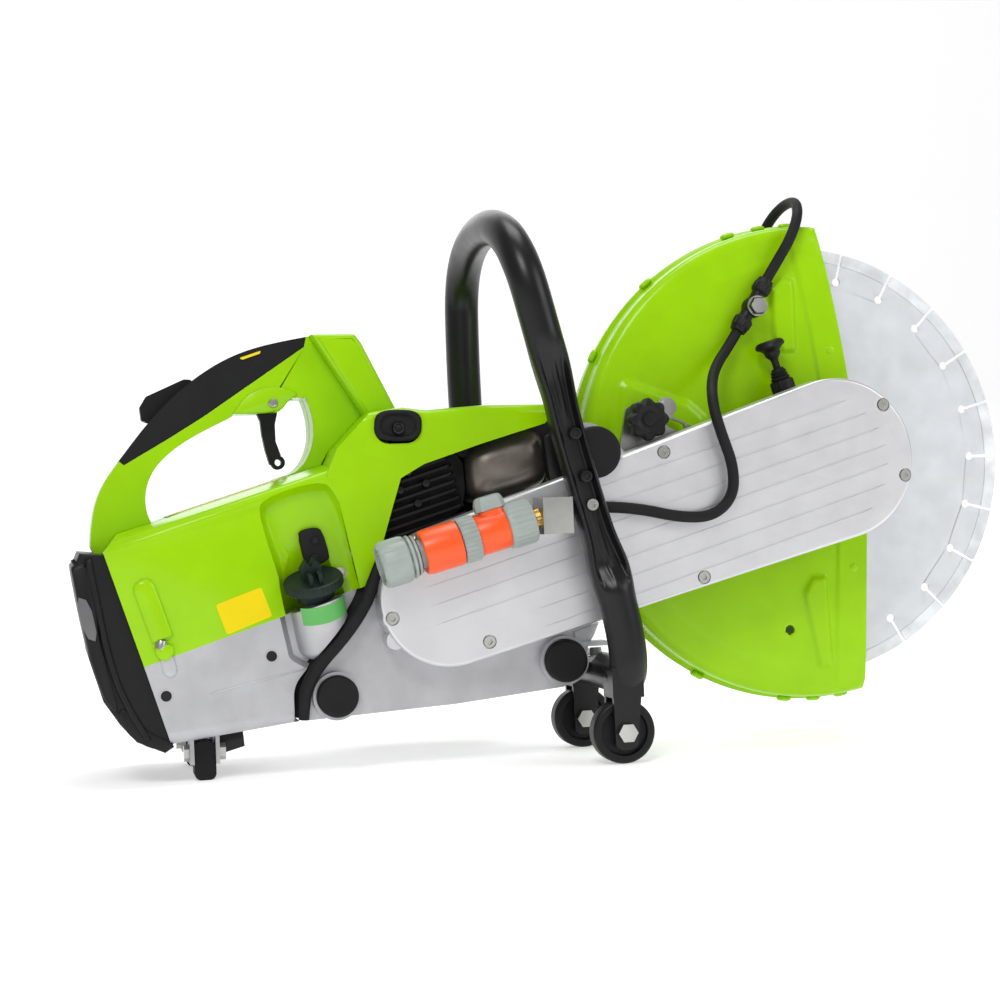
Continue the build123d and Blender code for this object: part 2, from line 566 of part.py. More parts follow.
def rear_handle():
    closing = [SEAM_LOW, (-183, 243), (-192, 228), (-210, 215), (-345, 165), (-361, 168)]
    back = Spline(*HANDLE_OUTSIDE)
    front = Polyline(HANDLE_OUTSIDE[-1], *closing, HANDLE_OUTSIDE[0])
    handle = slab(make_face([back, *front.edges()]), HANDLE_NEAR, HANDLE_FAR)
    rear_curve = Spline((-316, 188), (-323, 207), (-319, 227), (-306, 243), (-256, 271))
    upper_edge = Polyline((-256, 271), (-254.5, 274), (-220, 273.8), (-210, 284.2), (-199, 284.2))
    front_curve = Spline((-199, 284.2), (-194.6, 268), (-195.5, 248), (-205, 231), (-219, 224.5))
    lower_edge = Line((-219, 224.5), (-316, 188))
    hole = make_face([rear_curve, *upper_edge.edges(), front_curve, lower_edge])
    handle -= slab(hole, HANDLE_NEAR - 1, HANDLE_FAR + 1)
    handle = round_edges(handle, face_edges(handle, HANDLE_NEAR) + face_edges(handle, HANDLE_FAR), 6)
    handle -= PARTS["rear_body"]
    grip_outline = [(-345, 243), (-320, 290), (-240, 330), (-195, 340), (-199, 323), (-251, 289),
                    (-277, 272), (-304, 256), (-338, 237)]
    grip_zone = slab(outline(grip_outline), HANDLE_NEAR - 1, HANDLE_FAR + 1)
    grip = handle & grip_zone
    shells = handle - grip_zone
    middle = HANDLE_SPLIT
    trigger_slot = box((-240, middle - 5, 262), (-206, middle + 5, 292))
    lever_slot = slab(outline([(-327, 262), (-325, 292), (-283, 306), (-279, 290), (-315, 262)]),
                      middle - 8, middle + 8)
    trigger_pin = disc(TRIGGER_PIVOT, 2, HANDLE_NEAR - 0.6, HANDLE_FAR + 0.6)
    lever_pin = disc(LEVER_PIVOT, 1.5, middle - 13, middle + 13)
    shells -= trigger_slot + lever_slot + trigger_pin
    keep("handle_grip", grip - trigger_slot - lever_slot - lever_pin)
    wide = 500
    keep("handle_shell_near", shells & box((-wide, -wide, 0), (wide, middle, wide)))
    keep("handle_shell_far", shells & box((-wide, middle, 0), (wide, wide, wide)))
    lever = [(-323, 271), (-324, 281), (-319, 289), (-290, 301.5), (-283, 301), (-286, 292.5), (-318, 269)]
    lever_plate = slab(outline(lever, 2), middle - 7, middle + 7)
    keep("throttle_interlock", lever_plate - disc(LEVER_PIVOT, 1.5 + SHAFT_GAP, -50, 50))
    finger = [(-235.5, 275), (-230, 283), (-222, 285.5), (-215, 282), (-218.9, 275), (-221.3, 265),
              (-221.2, 252), (-217.5, 241), (-223, 233), (-226.5, 234.4), (-229.4, 245.2), (-231.6, 257.2),
              (-232.5, 268)]
    ring_place = (-220, 235.6)
    trigger_plate = slab(outline(finger, 1.2), middle - 4, middle + 4)
    trigger_plate += disc(ring_place, 5.4, middle - 4, middle + 4)
    trigger_plate -= disc(ring_place, 2.6, middle - 5, middle + 5)
    keep("throttle_trigger", trigger_plate - disc(TRIGGER_PIVOT, 2 + SHAFT_GAP, -50, 50))
    return [trigger_pin, lever_pin]


def top_covers():
    near, far = -36.0, 56.0
    corners = [(-195, 331), (-162, 331), (-157, 324), (-132, 272.5), SEAM_LOW]
    cover = slab(outline(corners), near, far)
    top = [e for e in cover.edges() if e.center().Z > 285 and e not in face_edges(cover, 0)]
    cover = round_edges(cover, [e for e in top if e.center().X > -185], 4)
    cover -= slab(offset(outline(corners), -4, kind=Kind.INTERSECTION), near + 4, far - 4)
    for name in ("handle_shell_near", "handle_shell_far", "handle_grip"):
        cover -= PARTS[name]
    keep("filter_cover", cover)
    keep("air_filter", slab(offset(outline(corners), -5.5, kind=Kind.INTERSECTION), near + 8, far - 8))
    skirt = [(-192, 224), (-170, 138), (-162, 141), (-152, 170), (-143, 198), (-136, 219), (-118, 229),
             (-73, 243), (-23, 257), (-17, 264), (-19, 272), (-68, 272.5), (-115, 270), (-132, 272.5),
             SEAM_LOW, (-183, 243)]
    hood = slab(Polygon(*skirt, align=None), BODY_NEAR, BODY_FAR)
    tops = [e for y in (BODY_NEAR, BODY_FAR) for e in face_edges(hood, y) if e.center().Z > 268]
    hood = round_edges(hood, tops, 7)
    inner = [(-188, 222), (-166, 100), (20, 100), (20, 268), (-131, 268), (-154, 265), (-180, 241)]
    hood -= slab(Polygon(*inner, align=None), BODY_NEAR + 3.5, BODY_FAR - 3.5)
    button = (-137, 256.5)
    grommet = slab(Pos(*button) * (SlotOverall(36, 23) - Circle(5 + BODY_GAP)), BODY_NEAR - 3, BODY_NEAR + 5)
    hood -= slab(Pos(*button) * SlotOverall(36, 23), BODY_NEAR - 5, BODY_NEAR + 5)
    keep("decompression_grommet", grommet)
    keep("decompression_button", disc(button, 5, BODY_NEAR - 4.5, BODY_NEAR + 14))
    hood -= cap_rod(25, -70, 40)
    keep("engine_cover", largest(hood - PARTS["tank_housing"] - PARTS["rear_body"] - PARTS["gap_seal"]))


def rear_cover():
    corners = [(-356, 171), (-374, 173), (-379.5, 160), (-376, 140), (-370, 95), (-361, 64), (-350, 47),
               (-338, 33), (-318, 24), (-311.5, 28)]
    cover = slab(outline(corners), BODY_NEAR + 4, BODY_FAR - 4)
    cover = round_edges(cover, [e for y in (BODY_NEAR + 4, BODY_FAR - 4) for e in face_edges(cover, y)
                                if e.center().X < -345 or e.center().Z < 40], 6)
    inside = [(-350, 160), (-372, 160), (-369, 138), (-363, 95), (-355, 68), (-334, 42), (-300, 32)]
    cover -= slab(outline(inside), BODY_NEAR + 9, BODY_FAR - 9)
    for name in ("tank_housing", "rear_body", "handle_shell_near", "handle_shell_far"):
        cover -= PARTS[name]
    keep("rear_cover", cover)


def fuel_cap():
    cap = cap_rod(22, 0, 7) + cap_rod(14.5, -10, 0)
    start = Vector(*CAP_CENTRE) + cap_axis() * 7
    plane = Plane(origin=tuple(start), x_dir=ALONG_ARM, z_dir=tuple(cap_axis()))
    keep("fuel_cap", cap + extrude(plane * RectangleRounded(9, 34, 3), amount=15))


# ---------------------------------------------------------------- starter
ROPE_X = CRANK[0] - 22.0
STARTER_Y = 105.0
STARTER_FACE = 119.0


def starter():
    house = disc(CRANK, 56, CASE_FAR, STARTER_FACE)
    house = round_edges(house, face_edges(house, STARTER_FACE), 9)
    house -= disc(CRANK, 52, CASE_FAR - 1, STARTER_FACE - 4)
    for n in range(12):
        vent = Rot(0, 0, 30 * n) * Pos(36, 0) * SlotOverall(20, 5)
        house -= slab(Pos(*CRANK) * vent, STARTER_FACE - 6, STARTER_FACE + 1)
    house += disc(CRANK, 6, 76, STARTER_FACE - 3)
    house -= rod((ROPE_X, STARTER_Y, 150), (0, 0, 1), 3, 60)
    keep("starter_housing", house)
    keep("starter_pulley", ring(CRANK, 22 - 1.75, 6 + SHAFT_GAP, STARTER_Y - 6, STARTER_Y + 6)
         + ring(CRANK, 26, 6 + SHAFT_GAP, STARTER_Y - 8, STARTER_Y - 4)
         + ring(CRANK, 26, 6 + SHAFT_GAP, STARTER_Y + 4, STARTER_Y + 6))
    keep("starter_rope", rod((ROPE_X, STARTER_Y, 158), (0, 0, 1), 1.75, 30))
    grip = rod((ROPE_X - 20, STARTER_Y, 193), (1, 0, 0), 7, 40)
    grip = fillet(grip.edges(), 5) + rod((ROPE_X, STARTER_Y, 184.5), (0, 0, 1), 4, 6)
    keep("starter_grip", grip - rod((ROPE_X, STARTER_Y, 150), (0, 0, 1), 1.75, 38))


# ---------------------------------------------------------------- front handle and wheels
def handle_path():
    points = [(17, 14, 66), (22, LEG_NEAR_Y, 66), (11, LEG_NEAR_Y, 143), (-8, LEG_NEAR_Y, 221),
              (-25, LEG_NEAR_Y, 296), (-56, LEG_NEAR_Y, 409), (-49, LEG_FAR_Y, 409), (-51, LEG_FAR_Y, 300),
              (-44, LEG_FAR_Y, 94)]
    return FilletPolyline(*points, radius=[24, 240, 400, 200, ARCH, ARCH, 300])


def handle_tube():
    path = handle_path()
    return sweep(Plane(origin=path @ 0, z_dir=path % 0) * Circle(TUBE_RADIUS), path=path)


def front_handle():
    tube = handle_tube()
    channel = outline([(3, 142), (19, 146), (-13, 284), (-28, 279)], 6)
    floor = LEG_NEAR_Y - TUBE_RADIUS + 9
    tube -= slab(channel, LEG_NEAR_Y - 20, floor)
    screws = [socket_screw(p, floor) for p in
              ((-13.6, 246.5), (-6.6, 214.5), (-2.2, 193.5))]
    for screw in screws:
        tube -= screw
    foot = box((-56, CASE_FAR, 83), (-31, LEG_FAR_Y + 8, 105))
    keep("front_handle", largest(tube + foot - PARTS["starter_housing"]))
    PARTS["water_block"] -= PARTS["front_handle"]
    return screws


def wheels():
    forks, bolts = [], []
    tube = handle_tube()
    for name, y in zip(("wheel_near", "wheel_far"), WHEEL_Y):
        cheek = outline([(7, 72), (31, 72), (25, 14), (20, 11), (12, 11), (8, 14)], 2)
        fork = slab(cheek, y - 13, y - 9) + slab(cheek, y + 9, y + 13)
        fork += box((7, y - 13, 49.5), (31, y + 13, 72))
        forks.append(fork - tube - disc(WHEEL_CENTRE, AXLE_RADIUS, y - 20, y + 20))
        tyre = disc(WHEEL_CENTRE, WHEEL_RADIUS, y - 8, y + 8)
        tyre = round_edges(tyre, face_edges(tyre, y - 8) + face_edges(tyre, y + 8), 3)
        dish = ring(WHEEL_CENTRE, 17.5, 7, y - 9, y - 4) + ring(WHEEL_CENTRE, 17.5, 7, y + 4, y + 9)
        keep(name, tyre - dish - disc(WHEEL_CENTRE, AXLE_RADIUS + SHAFT_GAP, y - 9, y + 9))
        bolt = disc(WHEEL_CENTRE, AXLE_RADIUS, y - 13, y + 19)
        bolt += slab(Pos(*WHEEL_CENTRE) * RegularPolygon(7.5, 6), y - 18, y - 13)
        bolts.append(bolt + slab(Pos(*WHEEL_CENTRE) * RegularPolygon(7.5, 6), y + 13, y + 18))
    keep("wheel_forks", Compound(children=forks))
    return bolts


# ---------------------------------------------------------------- whole saw
def build():
    blade()
    spindle()
    crank_train()
    crankcase()
    cylinder()
    belt_arm()
    screws = belt_cover()
    spindle_lock()
    guard_clamp()
    guard()
    water_line()
    tank_housing()
    foot_bolts = rear_feet()
    rear_body()
    pivot_pins = rear_handle()
    top_covers()
    rear_cover()
    fuel_cap()
    starter()
    handle_screws = front_handle()
    axle_bolts = wheels()
    clamp_bolt = disc(CLAMP_BOLT, 8, -54, -50) + disc(CLAMP_BOLT, 4, -50, -46)
    PARTS["guard_bracket"] -= clamp_bolt
    keep("cover_screws", Compound(children=screws + handle_screws + pivot_pins))
    keep("hex_bolts", Compound(children=foot_bolts + axle_bolts + [clamp_bolt]))


build()
os.makedirs("parts", exist_ok=True)
for name, part in PARTS.items():
    export_step(part, f"parts/{name}.step")
print(len(PARTS), "nodes")
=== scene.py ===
"""Looks of the rescue saw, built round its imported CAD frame.

Lengths are in millimetres in the lists below and metres in Blender: mm() converts.
+X points forward to the blade, -Y is the near side with the belt cover, +Z is up.
"""
import json
from math import cos, hypot, pi, radians, sin, sqrt

import bmesh
import bpy
from mathutils import Matrix, Vector


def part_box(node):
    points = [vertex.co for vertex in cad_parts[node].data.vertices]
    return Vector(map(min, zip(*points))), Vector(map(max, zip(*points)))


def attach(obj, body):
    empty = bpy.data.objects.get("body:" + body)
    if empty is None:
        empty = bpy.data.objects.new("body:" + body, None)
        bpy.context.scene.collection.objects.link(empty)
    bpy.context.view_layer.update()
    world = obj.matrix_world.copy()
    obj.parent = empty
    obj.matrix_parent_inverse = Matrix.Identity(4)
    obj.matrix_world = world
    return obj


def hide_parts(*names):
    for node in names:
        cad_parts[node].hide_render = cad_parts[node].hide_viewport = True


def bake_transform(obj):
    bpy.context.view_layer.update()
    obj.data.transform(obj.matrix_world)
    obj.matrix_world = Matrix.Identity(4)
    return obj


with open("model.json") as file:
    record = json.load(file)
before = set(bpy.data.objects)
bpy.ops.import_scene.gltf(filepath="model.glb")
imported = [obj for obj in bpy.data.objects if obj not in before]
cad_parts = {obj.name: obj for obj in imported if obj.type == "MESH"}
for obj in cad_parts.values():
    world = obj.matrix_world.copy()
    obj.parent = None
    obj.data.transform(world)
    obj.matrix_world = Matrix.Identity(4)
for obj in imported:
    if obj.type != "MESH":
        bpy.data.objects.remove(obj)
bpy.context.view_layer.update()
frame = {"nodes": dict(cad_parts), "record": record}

NODES = frame["nodes"]
SUBPARTS = frame["record"]["subparts"]
MM = 0.001
ARM_TILT = radians(16.5)   # rise of the belt arm towards the blade
KIT_TILT = radians(14.5)   # rise of the water coupling's axis


def mm(*values):
    """A point in millimetres as a Blender vector in metres."""
    return Vector(values) * MM


def centre(node):
    """Middle of a CAD node's box, in millimetres."""
    low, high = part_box(node)
    return (low + high) / 2 / MM


SPINDLE = centre("blade_segments")
CRANK = centre("crankshaft")
ALONG_ARM = Vector((cos(ARM_TILT), 0, sin(ARM_TILT)))
ABOVE_ARM = Vector((-sin(ARM_TILT), 0, cos(ARM_TILT)))
ALONG_KIT = Vector((cos(KIT_TILT), 0, sin(KIT_TILT)))
ABOVE_KIT = Vector((-sin(KIT_TILT), 0, cos(KIT_TILT)))
NEAR = Vector((0, -1, 0))


# ---------------------------------------------------------------- materials
NOISE_RANGE = (0.3, 0.7)      # nearly all of a noise texture's values lie between these
MOTTLE_RANGE = (0.35, 0.65)
MOTTLE_SCALE, ROUGH_SCALE = 38.0, 70.0
GRAIN_HEIGHT, WAVE_HEIGHT = 0.0004, 0.002


def material(name, colour, rough, metal=0.0, coat=0.0, coat_rough=0.05, grain=900.0, grain_bump=0.1,
             mottle=0.06, wave=0.0, wave_scale=25.0, rough_spread=0.1, specular=0.5):
    """Procedural finish: mottled colour, uneven roughness, fine grain and a slow surface wave."""
    made = bpy.data.materials.new(name)
    made.use_nodes = True
    tree = made.node_tree
    shader = tree.nodes["Principled BSDF"]
    shader.inputs["Metallic"].default_value = metal
    shader.inputs["Coat Weight"].default_value = coat
    shader.inputs["Coat Roughness"].default_value = coat_rough
    shader.inputs["Specular IOR Level"].default_value = specular
    place = tree.nodes.new("ShaderNodeTexCoord")

    def cloud(scale, detail=4.0):
        node = tree.nodes.new("ShaderNodeTexNoise")
        node.inputs["Scale"].default_value = scale
        node.inputs["Detail"].default_value = detail
        tree.links.new(place.outputs["Object"], node.inputs["Vector"])
        return node.outputs["Fac"]

    def spread(source, low, high):
        node = tree.nodes.new("ShaderNodeMapRange")
        node.inputs["From Min"].default_value = NOISE_RANGE[0]
        node.inputs["From Max"].default_value = NOISE_RANGE[1]
        node.inputs["To Min"].default_value = low
        node.inputs["To Max"].default_value = high
        tree.links.new(source, node.inputs["Value"])
        return node.outputs["Result"]

    ramp = tree.nodes.new("ShaderNodeValToRGB")
    dark = [c * (1 - mottle) for c in colour]
    light = [min(1.0, c * (1 + mottle)) for c in colour]
    for stop, place_on_ramp, shade in zip(ramp.color_ramp.elements, MOTTLE_RANGE, (dark, light)):
        stop.position = place_on_ramp
        stop.color = (*shade, 1)
    tree.links.new(cloud(MOTTLE_SCALE, 6.0), ramp.inputs["Fac"])
    tree.links.new(ramp.outputs["Color"], shader.inputs["Base Color"])
    tree.links.new(spread(cloud(ROUGH_SCALE), rough * (1 - rough_spread), rough * (1 + rough_spread)),
                   shader.inputs["Roughness"])
    bump = tree.nodes.new("ShaderNodeBump")
    bump.inputs["Strength"].default_value = grain_bump
    bump.inputs["Distance"].default_value = GRAIN_HEIGHT
    tree.links.new(cloud(grain, 2.0), bump.inputs["Height"])
    if wave:
        slow = tree.nodes.new("ShaderNodeBump")
        slow.inputs["Strength"].default_value = wave
        slow.inputs["Distance"].default_value = WAVE_HEIGHT
        tree.links.new(cloud(wave_scale, 1.0), slow.inputs["Height"])
        tree.links.new(slow.outputs["Normal"], bump.inputs["Normal"])
    tree.links.new(bump.outputs["Normal"], shader.inputs["Normal"])
    return made


FINISHES = {
    "green_paint": material("lime_paint", (0.315, 0.625, 0.0004), 0.24, coat=0.12, grain=350,
                            grain_bump=0.04, mottle=0.03, wave=0.05, specular=0.2),
    "cast_silver": material("cast_silver", (0.50, 0.50, 0.52), 0.48, metal=0.6, grain=1400, grain_bump=0.35,
                            mottle=0.07),
    "cover_silver": material("cover_silver", (0.68, 0.68, 0.70), 0.38, metal=0.7, grain=2200,
                             grain_bump=0.12, mottle=0.03),
    "black_rubber": material("black_rubber", (0.010, 0.010, 0.011), 0.6, grain=1800, grain_bump=0.3,
                             specular=0.2),
    "black_plastic": material("black_plastic", (0.008, 0.008, 0.009), 0.42, grain=1500, grain_bump=0.2,
                              specular=0.25),
    "black_coat": material("black_coat", (0.006, 0.006, 0.007), 0.32, grain=1300, grain_bump=0.12,
                           specular=0.35),
    "dark_cap": material("dark_cap", (0.010, 0.020, 0.016), 0.5, grain=1500, grain_bump=0.2, specular=0.25),
    "grey_plastic": material("grey_plastic", (0.33, 0.37, 0.35), 0.4, grain=1300, grain_bump=0.1),
    "orange_plastic": material("orange_plastic", (0.93, 0.10, 0.012), 0.33, grain=1300, grain_bump=0.08,
                               mottle=0.04),
    "brass": material("brass", (0.72, 0.45, 0.13), 0.32, metal=1.0, grain=900, grain_bump=0.1),
    "zinc_steel": material("zinc_steel", (0.52, 0.52, 0.49), 0.3, metal=1.0, grain=700, grain_bump=0.12,
                           mottle=0.12),
    "bare_steel": material("bare_steel", (0.56, 0.56, 0.57), 0.34, metal=1.0, grain=1200, grain_bump=0.15),
    "blade_steel": material("blade_steel", (0.70, 0.72, 0.75), 0.42, metal=0.75, grain=1600, grain_bump=0.1,
                            mottle=0.05, wave=0.05, wave_scale=14),
    "segment_steel": material("segment_steel", (0.74, 0.76, 0.78), 0.55, metal=0.6, grain=1500,
                              grain_bump=0.5, mottle=0.16),
    "muffler_metal": material("muffler_metal", (0.22, 0.195, 0.17), 0.42, metal=0.9, grain=900,
                              grain_bump=0.15, mottle=0.2, wave=0.1),
    "filter_foam": material("filter_foam", (0.05, 0.05, 0.05), 0.9, grain=600, grain_bump=0.9),
    "yellow_label": material("yellow_label", (0.82, 0.64, 0.002), 0.4, grain=500, grain_bump=0.03,
                             mottle=0.02, specular=0.2),
    # painted reflection: pale beige for the green top of the body in the hand space where it reflects the
    # white light
    "painted_reflection_pale": material("painted_reflection_pale", (0.66, 0.60, 0.36), 0.45, grain=500, grain_bump=0.03, mottle=0.03,
                           specular=0.3),
    "green_label": material("green_label", (0.10, 0.42, 0.09), 0.35, grain=500, grain_bump=0.03,
                            mottle=0.03),
    # painted shade: matte near-black for the shade in hole bottoms, in the joint behind the seam seal and
    # inside the engine opening
    "painted_shade_black": material("painted_shade_black", (0.004, 0.004, 0.004), 0.8, grain=500, grain_bump=0.03),
    "grey_screen": material("grey_screen", (0.13, 0.13, 0.135), 0.45, grain=1800, grain_bump=0.3),
    "rope": material("rope", (0.04, 0.04, 0.04), 0.8, grain=1200, grain_bump=0.6),
}


def round_edges(node):
    """Softens the sharp edges of a piece by a hair, as paint and moulding do."""
    weld = node.modifiers.new("weld", "WELD")
    weld.merge_threshold = 0.00002
    bevel = node.modifiers.new("soft_edges", "BEVEL")
    bevel.width = 0.0006
    bevel.segments = 2
    bevel.limit_method = "ANGLE"
    bevel.angle_limit = radians(35)
    bevel.harden_normals = True


def paint_cad():
    """Gives every CAD node the finish of its slot and rounds its sharp edges."""
    for row in SUBPARTS:
        node = NODES[row["node"]]
        node.data.materials.clear()
        node.data.materials.append(FINISHES[row["material_slot"]])
        round_edges(node)


# ---------------------------------------------------------------- shapes shared by the pieces
def link(item):
    """Puts an object in the scene and hands it back."""
    bpy.context.scene.collection.objects.link(item)
    return item


def mesh_of(name, verts, faces):
    mesh = bpy.data.meshes.new(name)
    mesh.from_pydata(verts, [], faces)
    return mesh


def evaluated_mesh(item):
    """New mesh of an object, as its modifiers or its curve settings shape it."""
    bpy.context.view_layer.update()
    return bpy.data.meshes.new_from_object(item.evaluated_get(bpy.context.evaluated_depsgraph_get()))


def add(name, mesh, finish, body):
    """Puts a finished mesh in the scene, with its material and the body it rides on."""
    piece = link(bpy.data.objects.new(name, mesh))
    mesh.materials.append(FINISHES[finish])
    for face in mesh.polygons:
        face.use_smooth = True
    if body:
        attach(piece, body)
    return piece


def bands(rings, count):
    """Faces between neighbouring closed rings of count points each."""
    faces = []
    for n in range(rings - 1):
        for k in range(count):
            j = (k + 1) % count
            faces.append((n * count + k, n * count + j, (n + 1) * count + j, (n + 1) * count + k))
    return faces


def sweep(name, path, section, finish, body, plane=None):
    """Closed piece round a path of points in metres: section(n, t) gives ring n as (side, up) offsets.

    With plane, the path lies near the plane with that normal, and the side offsets point out of its bends.
    """
    tangents = []
    for n in range(len(path)):
        tangents.append((path[min(n + 1, len(path) - 1)] - path[max(n - 1, 0)]).normalized())
    normal = tangents[0].orthogonal().normalized()
    if abs(tangents[0].y) < 0.9:
        normal = (NEAR - tangents[0] * NEAR.dot(tangents[0])).normalized()
    verts, count = [], 0
    for n, (place, tangent) in enumerate(zip(path, tangents)):
        if plane:
            normal = plane.cross(tangent)
        normal = (normal - tangent * normal.dot(tangent)).normalized()
        across = tangent.cross(normal)
        ring = section(n, n / (len(path) - 1))
        count = len(ring)
        verts += [place + normal * a * MM + across * b * MM for a, b in ring]
    caps = [tuple(range(count))[::-1], tuple(range(len(verts) - count, len(verts)))]
    return add(name, mesh_of(name, verts, bands(len(path), count) + caps), finish, body)


def oval(half_a, half_b, count):
    return [(half_a * cos(2 * pi * k / count), half_b * sin(2 * pi * k / count)) for k in range(count)]


def circle(radius, count=20):
    return oval(radius, radius, count)


def superellipse(half_a, half_b, power, count):
    """Oval that gets squarer with a higher power; 2 gives a plain one."""
    shape = []
    for k in range(count):
        c, s = cos(2 * pi * k / count), sin(2 * pi * k / count)
        a = half_a * abs(c) ** (2 / power) * (1 if c > 0 else -1)
        b = half_b * abs(s) ** (2 / power) * (1 if s > 0 else -1)
        shape.append((a, b))
    return shape


def route(name, points):
    """Smooth centreline that follows control points in millimetres, as a list of points in metres."""
    curve = bpy.data.curves.new(name, "CURVE")
    curve.dimensions = "3D"
    spline = curve.splines.new("NURBS")
    spline.points.add(len(points) - 1)
    for point, place in zip(spline.points, points):
        point.co = (*mm(*place), 1)
    spline.order_u = 3
    spline.use_endpoint_u = True
    spline.resolution_u = 16
    piece = link(bpy.data.objects.new(name, curve))
    path = [v.co.copy() for v in evaluated_mesh(piece).vertices]
    bpy.data.objects.remove(piece)
    return path


def step(value, low, high):
    """Smooth step from 0 at low to 1 at high; low may be the larger of the two."""
    t = max(0.0, min(1.0, (value - low) / (high - low)))
    return t * t * (3 - 2 * t)


def stack(name, rings, finish, body, sharp=38):
    """Skin through rings of points in millimetres, closed at both ends, with outward normals."""
    count = len(rings[0])
    verts = [Vector(point) * MM for ring in rings for point in ring]
    caps = [tuple(range(count)), tuple(range(len(verts) - count, len(verts)))]
    mesh = mesh_of(name, verts, bands(len(rings), count) + caps)
    work = bmesh.new()
    work.from_mesh(mesh)
    bmesh.ops.remove_doubles(work, verts=work.verts, dist=1e-7)
    bmesh.ops.recalc_face_normals(work, faces=work.faces)
    work.to_mesh(mesh)
    work.free()
    piece = add(name, mesh, finish, body)
    mesh.set_sharp_from_angle(angle=radians(sharp))
    return piece


def soften(points, rounds=2):
    """Cuts the corners of a closed outline, each round leaving it smoother."""
    for _ in range(rounds):
        cut = []
        for a, b in zip(points, points[1:] + points[:1]):
            cut.append(tuple(0.75 * p + 0.25 * q for p, q in zip(a, b)))
            cut.append(tuple(0.25 * p + 0.75 * q for p, q in zip(a, b)))
        points = cut
    return points


def shrink(points, amount):
    """Outline scaled towards its middle so that its edge moves in by about this much."""
    mx = sum(p[0] for p in points) / len(points)
    mz = sum(p[1] for p in points) / len(points)
    moved = []
    for x, z in points:
        share = max(0.0, 1 - amount / hypot(x - mx, z - mz))
        moved.append((mx + (x - mx) * share, mz + (z - mz) * share))
    return moved


def plate(name, points, near, far, finish, body, edge=0.8):
    """Flat piece with a side-view outline, from y = near to y = far, with its edges rounded."""
    rings = []
    for y, inset in ((near, edge), (near + 0.3 * edge, 0.3 * edge), (near + edge, 0), (far - edge, 0),
                     (far - 0.3 * edge, 0.3 * edge), (far, edge)):
        rings.append([(x, y, z) for x, z in shrink(points, inset)])
    return stack(name, rings, finish, body, 50)


def onto(axis):
    """Turns +Z onto an axis."""
    return Vector(axis).normalized().to_track_quat("Z", "Y").to_matrix()


def turned(name, profile, base, axis, finish, body, teeth=0, tooth=0.0, steps=0, grip=0.0):
    """Turned piece: profile holds (radius, height) pairs in millimetres along the axis.

    Where teeth are asked for, the parts wider than grip are cut into that many, tooth deep.
    """
    steps = steps or (teeth * 8 if teeth else 64)
    turn = onto(axis)
    rings = []
    for radius, height in profile:
        ring = []
        for k in range(steps):
            angle = 2 * pi * k / steps
            r = radius
            if teeth and radius > grip:
                r -= tooth * step(cos(teeth * angle), 0.35, -0.35)
            ring.append(Vector(base) + turn @ Vector((r * cos(angle), r * sin(angle), height)))
        rings.append(ring)
    return stack(name, rings, finish, body, 32)


def stud(name, profile, x, z, finish, body="chassis", steps=36, y=0):
    """Turned piece that points at the near side, its heights counted from the plane at y."""
    return turned(name, profile, (x, y, z), NEAR, finish, body, steps=steps)


def bolt_head(name, middle, axis, size, height, finish="zinc_steel", body="chassis"):
    """Hexagon bolt head with a chamfered top and a washer under it."""
    turn = onto(axis)

    def ring(height_at, radius, washer=0.0):
        points = []
        for k in range(36):
            angle = 2 * pi * k / 36
            flat = size * cos(pi / 6) / cos((angle % (pi / 3)) - pi / 6)
            r = washer or min(flat, radius)
            points.append(Vector(middle) + turn @ Vector((r * cos(angle), r * sin(angle), height_at)))
        return points

    washer, corners = size + 1.6, size + 9
    rings = [ring(-0.5, 0, washer), ring(0.9, 0, washer), ring(1.0, corners), ring(height - 1, corners),
             ring(height, size * 0.9)]
    return stack(name, rings, finish, body, 30)


def arm(along, up=0.0, y=0.0):
    """Point measured along the belt arm from the crankshaft, and above it."""
    place = Vector((CRANK.x, 0, CRANK.z)) + ALONG_ARM * along + ABOVE_ARM * up
    return Vector((place.x, y, place.z))


# ---------------------------------------------------------------- hoses
WATER_HOSE = ((-17, -91.4, 192), (9, -91.4, 192), (42, -92, 189), (74, -92.5, 181), (100, -93, 181),
              (116, -94, 196), (116, -96, 219), (107, -98, 243), (103, -92, 265), (110, -70, 286),
              (123, -48, 301), (136.8, -37, 314.8), (146, -37, 329))
GUARD_HOSE = ((169, -37, 364.5), (179.12, -37, 380.12), (190, -41, 398), (200, -35, 417), (206, -19, 431),
              (207, 1, 435), (203, 20, 430), (196, 33, 416), (188, 36, 399))
HOSE_RADIUS = 4.25


def hose(name, points, body, node):
    path = route(name + "_line", points)
    piece = sweep(name, path, lambda n, t: circle(HOSE_RADIUS), "black_rubber", body)
    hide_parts(node)
    return piece


def hoses():
    hose("guard_hose_rubber", GUARD_HOSE, "guard", "guard_hose")
    water = hose("water_hose_rubber", WATER_HOSE, None, "water_hose")
    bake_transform(water)


# ---------------------------------------------------------------- blade guard
RIM = 190.0                # radius of the guard's rim wall
LIP = 193.0                # radius of the joined flange round the rim
FACE = 28.0                # the guard's faces stand this far from the blade
PANEL_RISE = 1.6           # and the panel inside their open edge this much further
RIM_ROUND, EDGE_ROUND = 8.0, 2.0
EDGE_CORNER = -63.0        # height below the spindle where the open edge bends
EDGE_AHEAD = 46.0          # and how far forward of the spindle it stands there


def open_edge(up):
    """How far forward of the spindle the guard's open edge stands, at a height above it."""
    rise = up - EDGE_CORNER
    if rise < 0:
        return EDGE_AHEAD + rise * 7 / 133
    return EDGE_AHEAD - rise * 0.0341 - rise * rise * 0.000407


def reach(angle):
    """Distance from the spindle to the guard's outline, and whether the rim closes it there."""
    low, high = 20.0, RIM
    for _ in range(30):
        mid = (low + high) / 2
        if mid * cos(angle) < open_edge(mid * sin(angle)):
            low = mid
        else:
            high = mid
    return low, low > RIM - 0.01


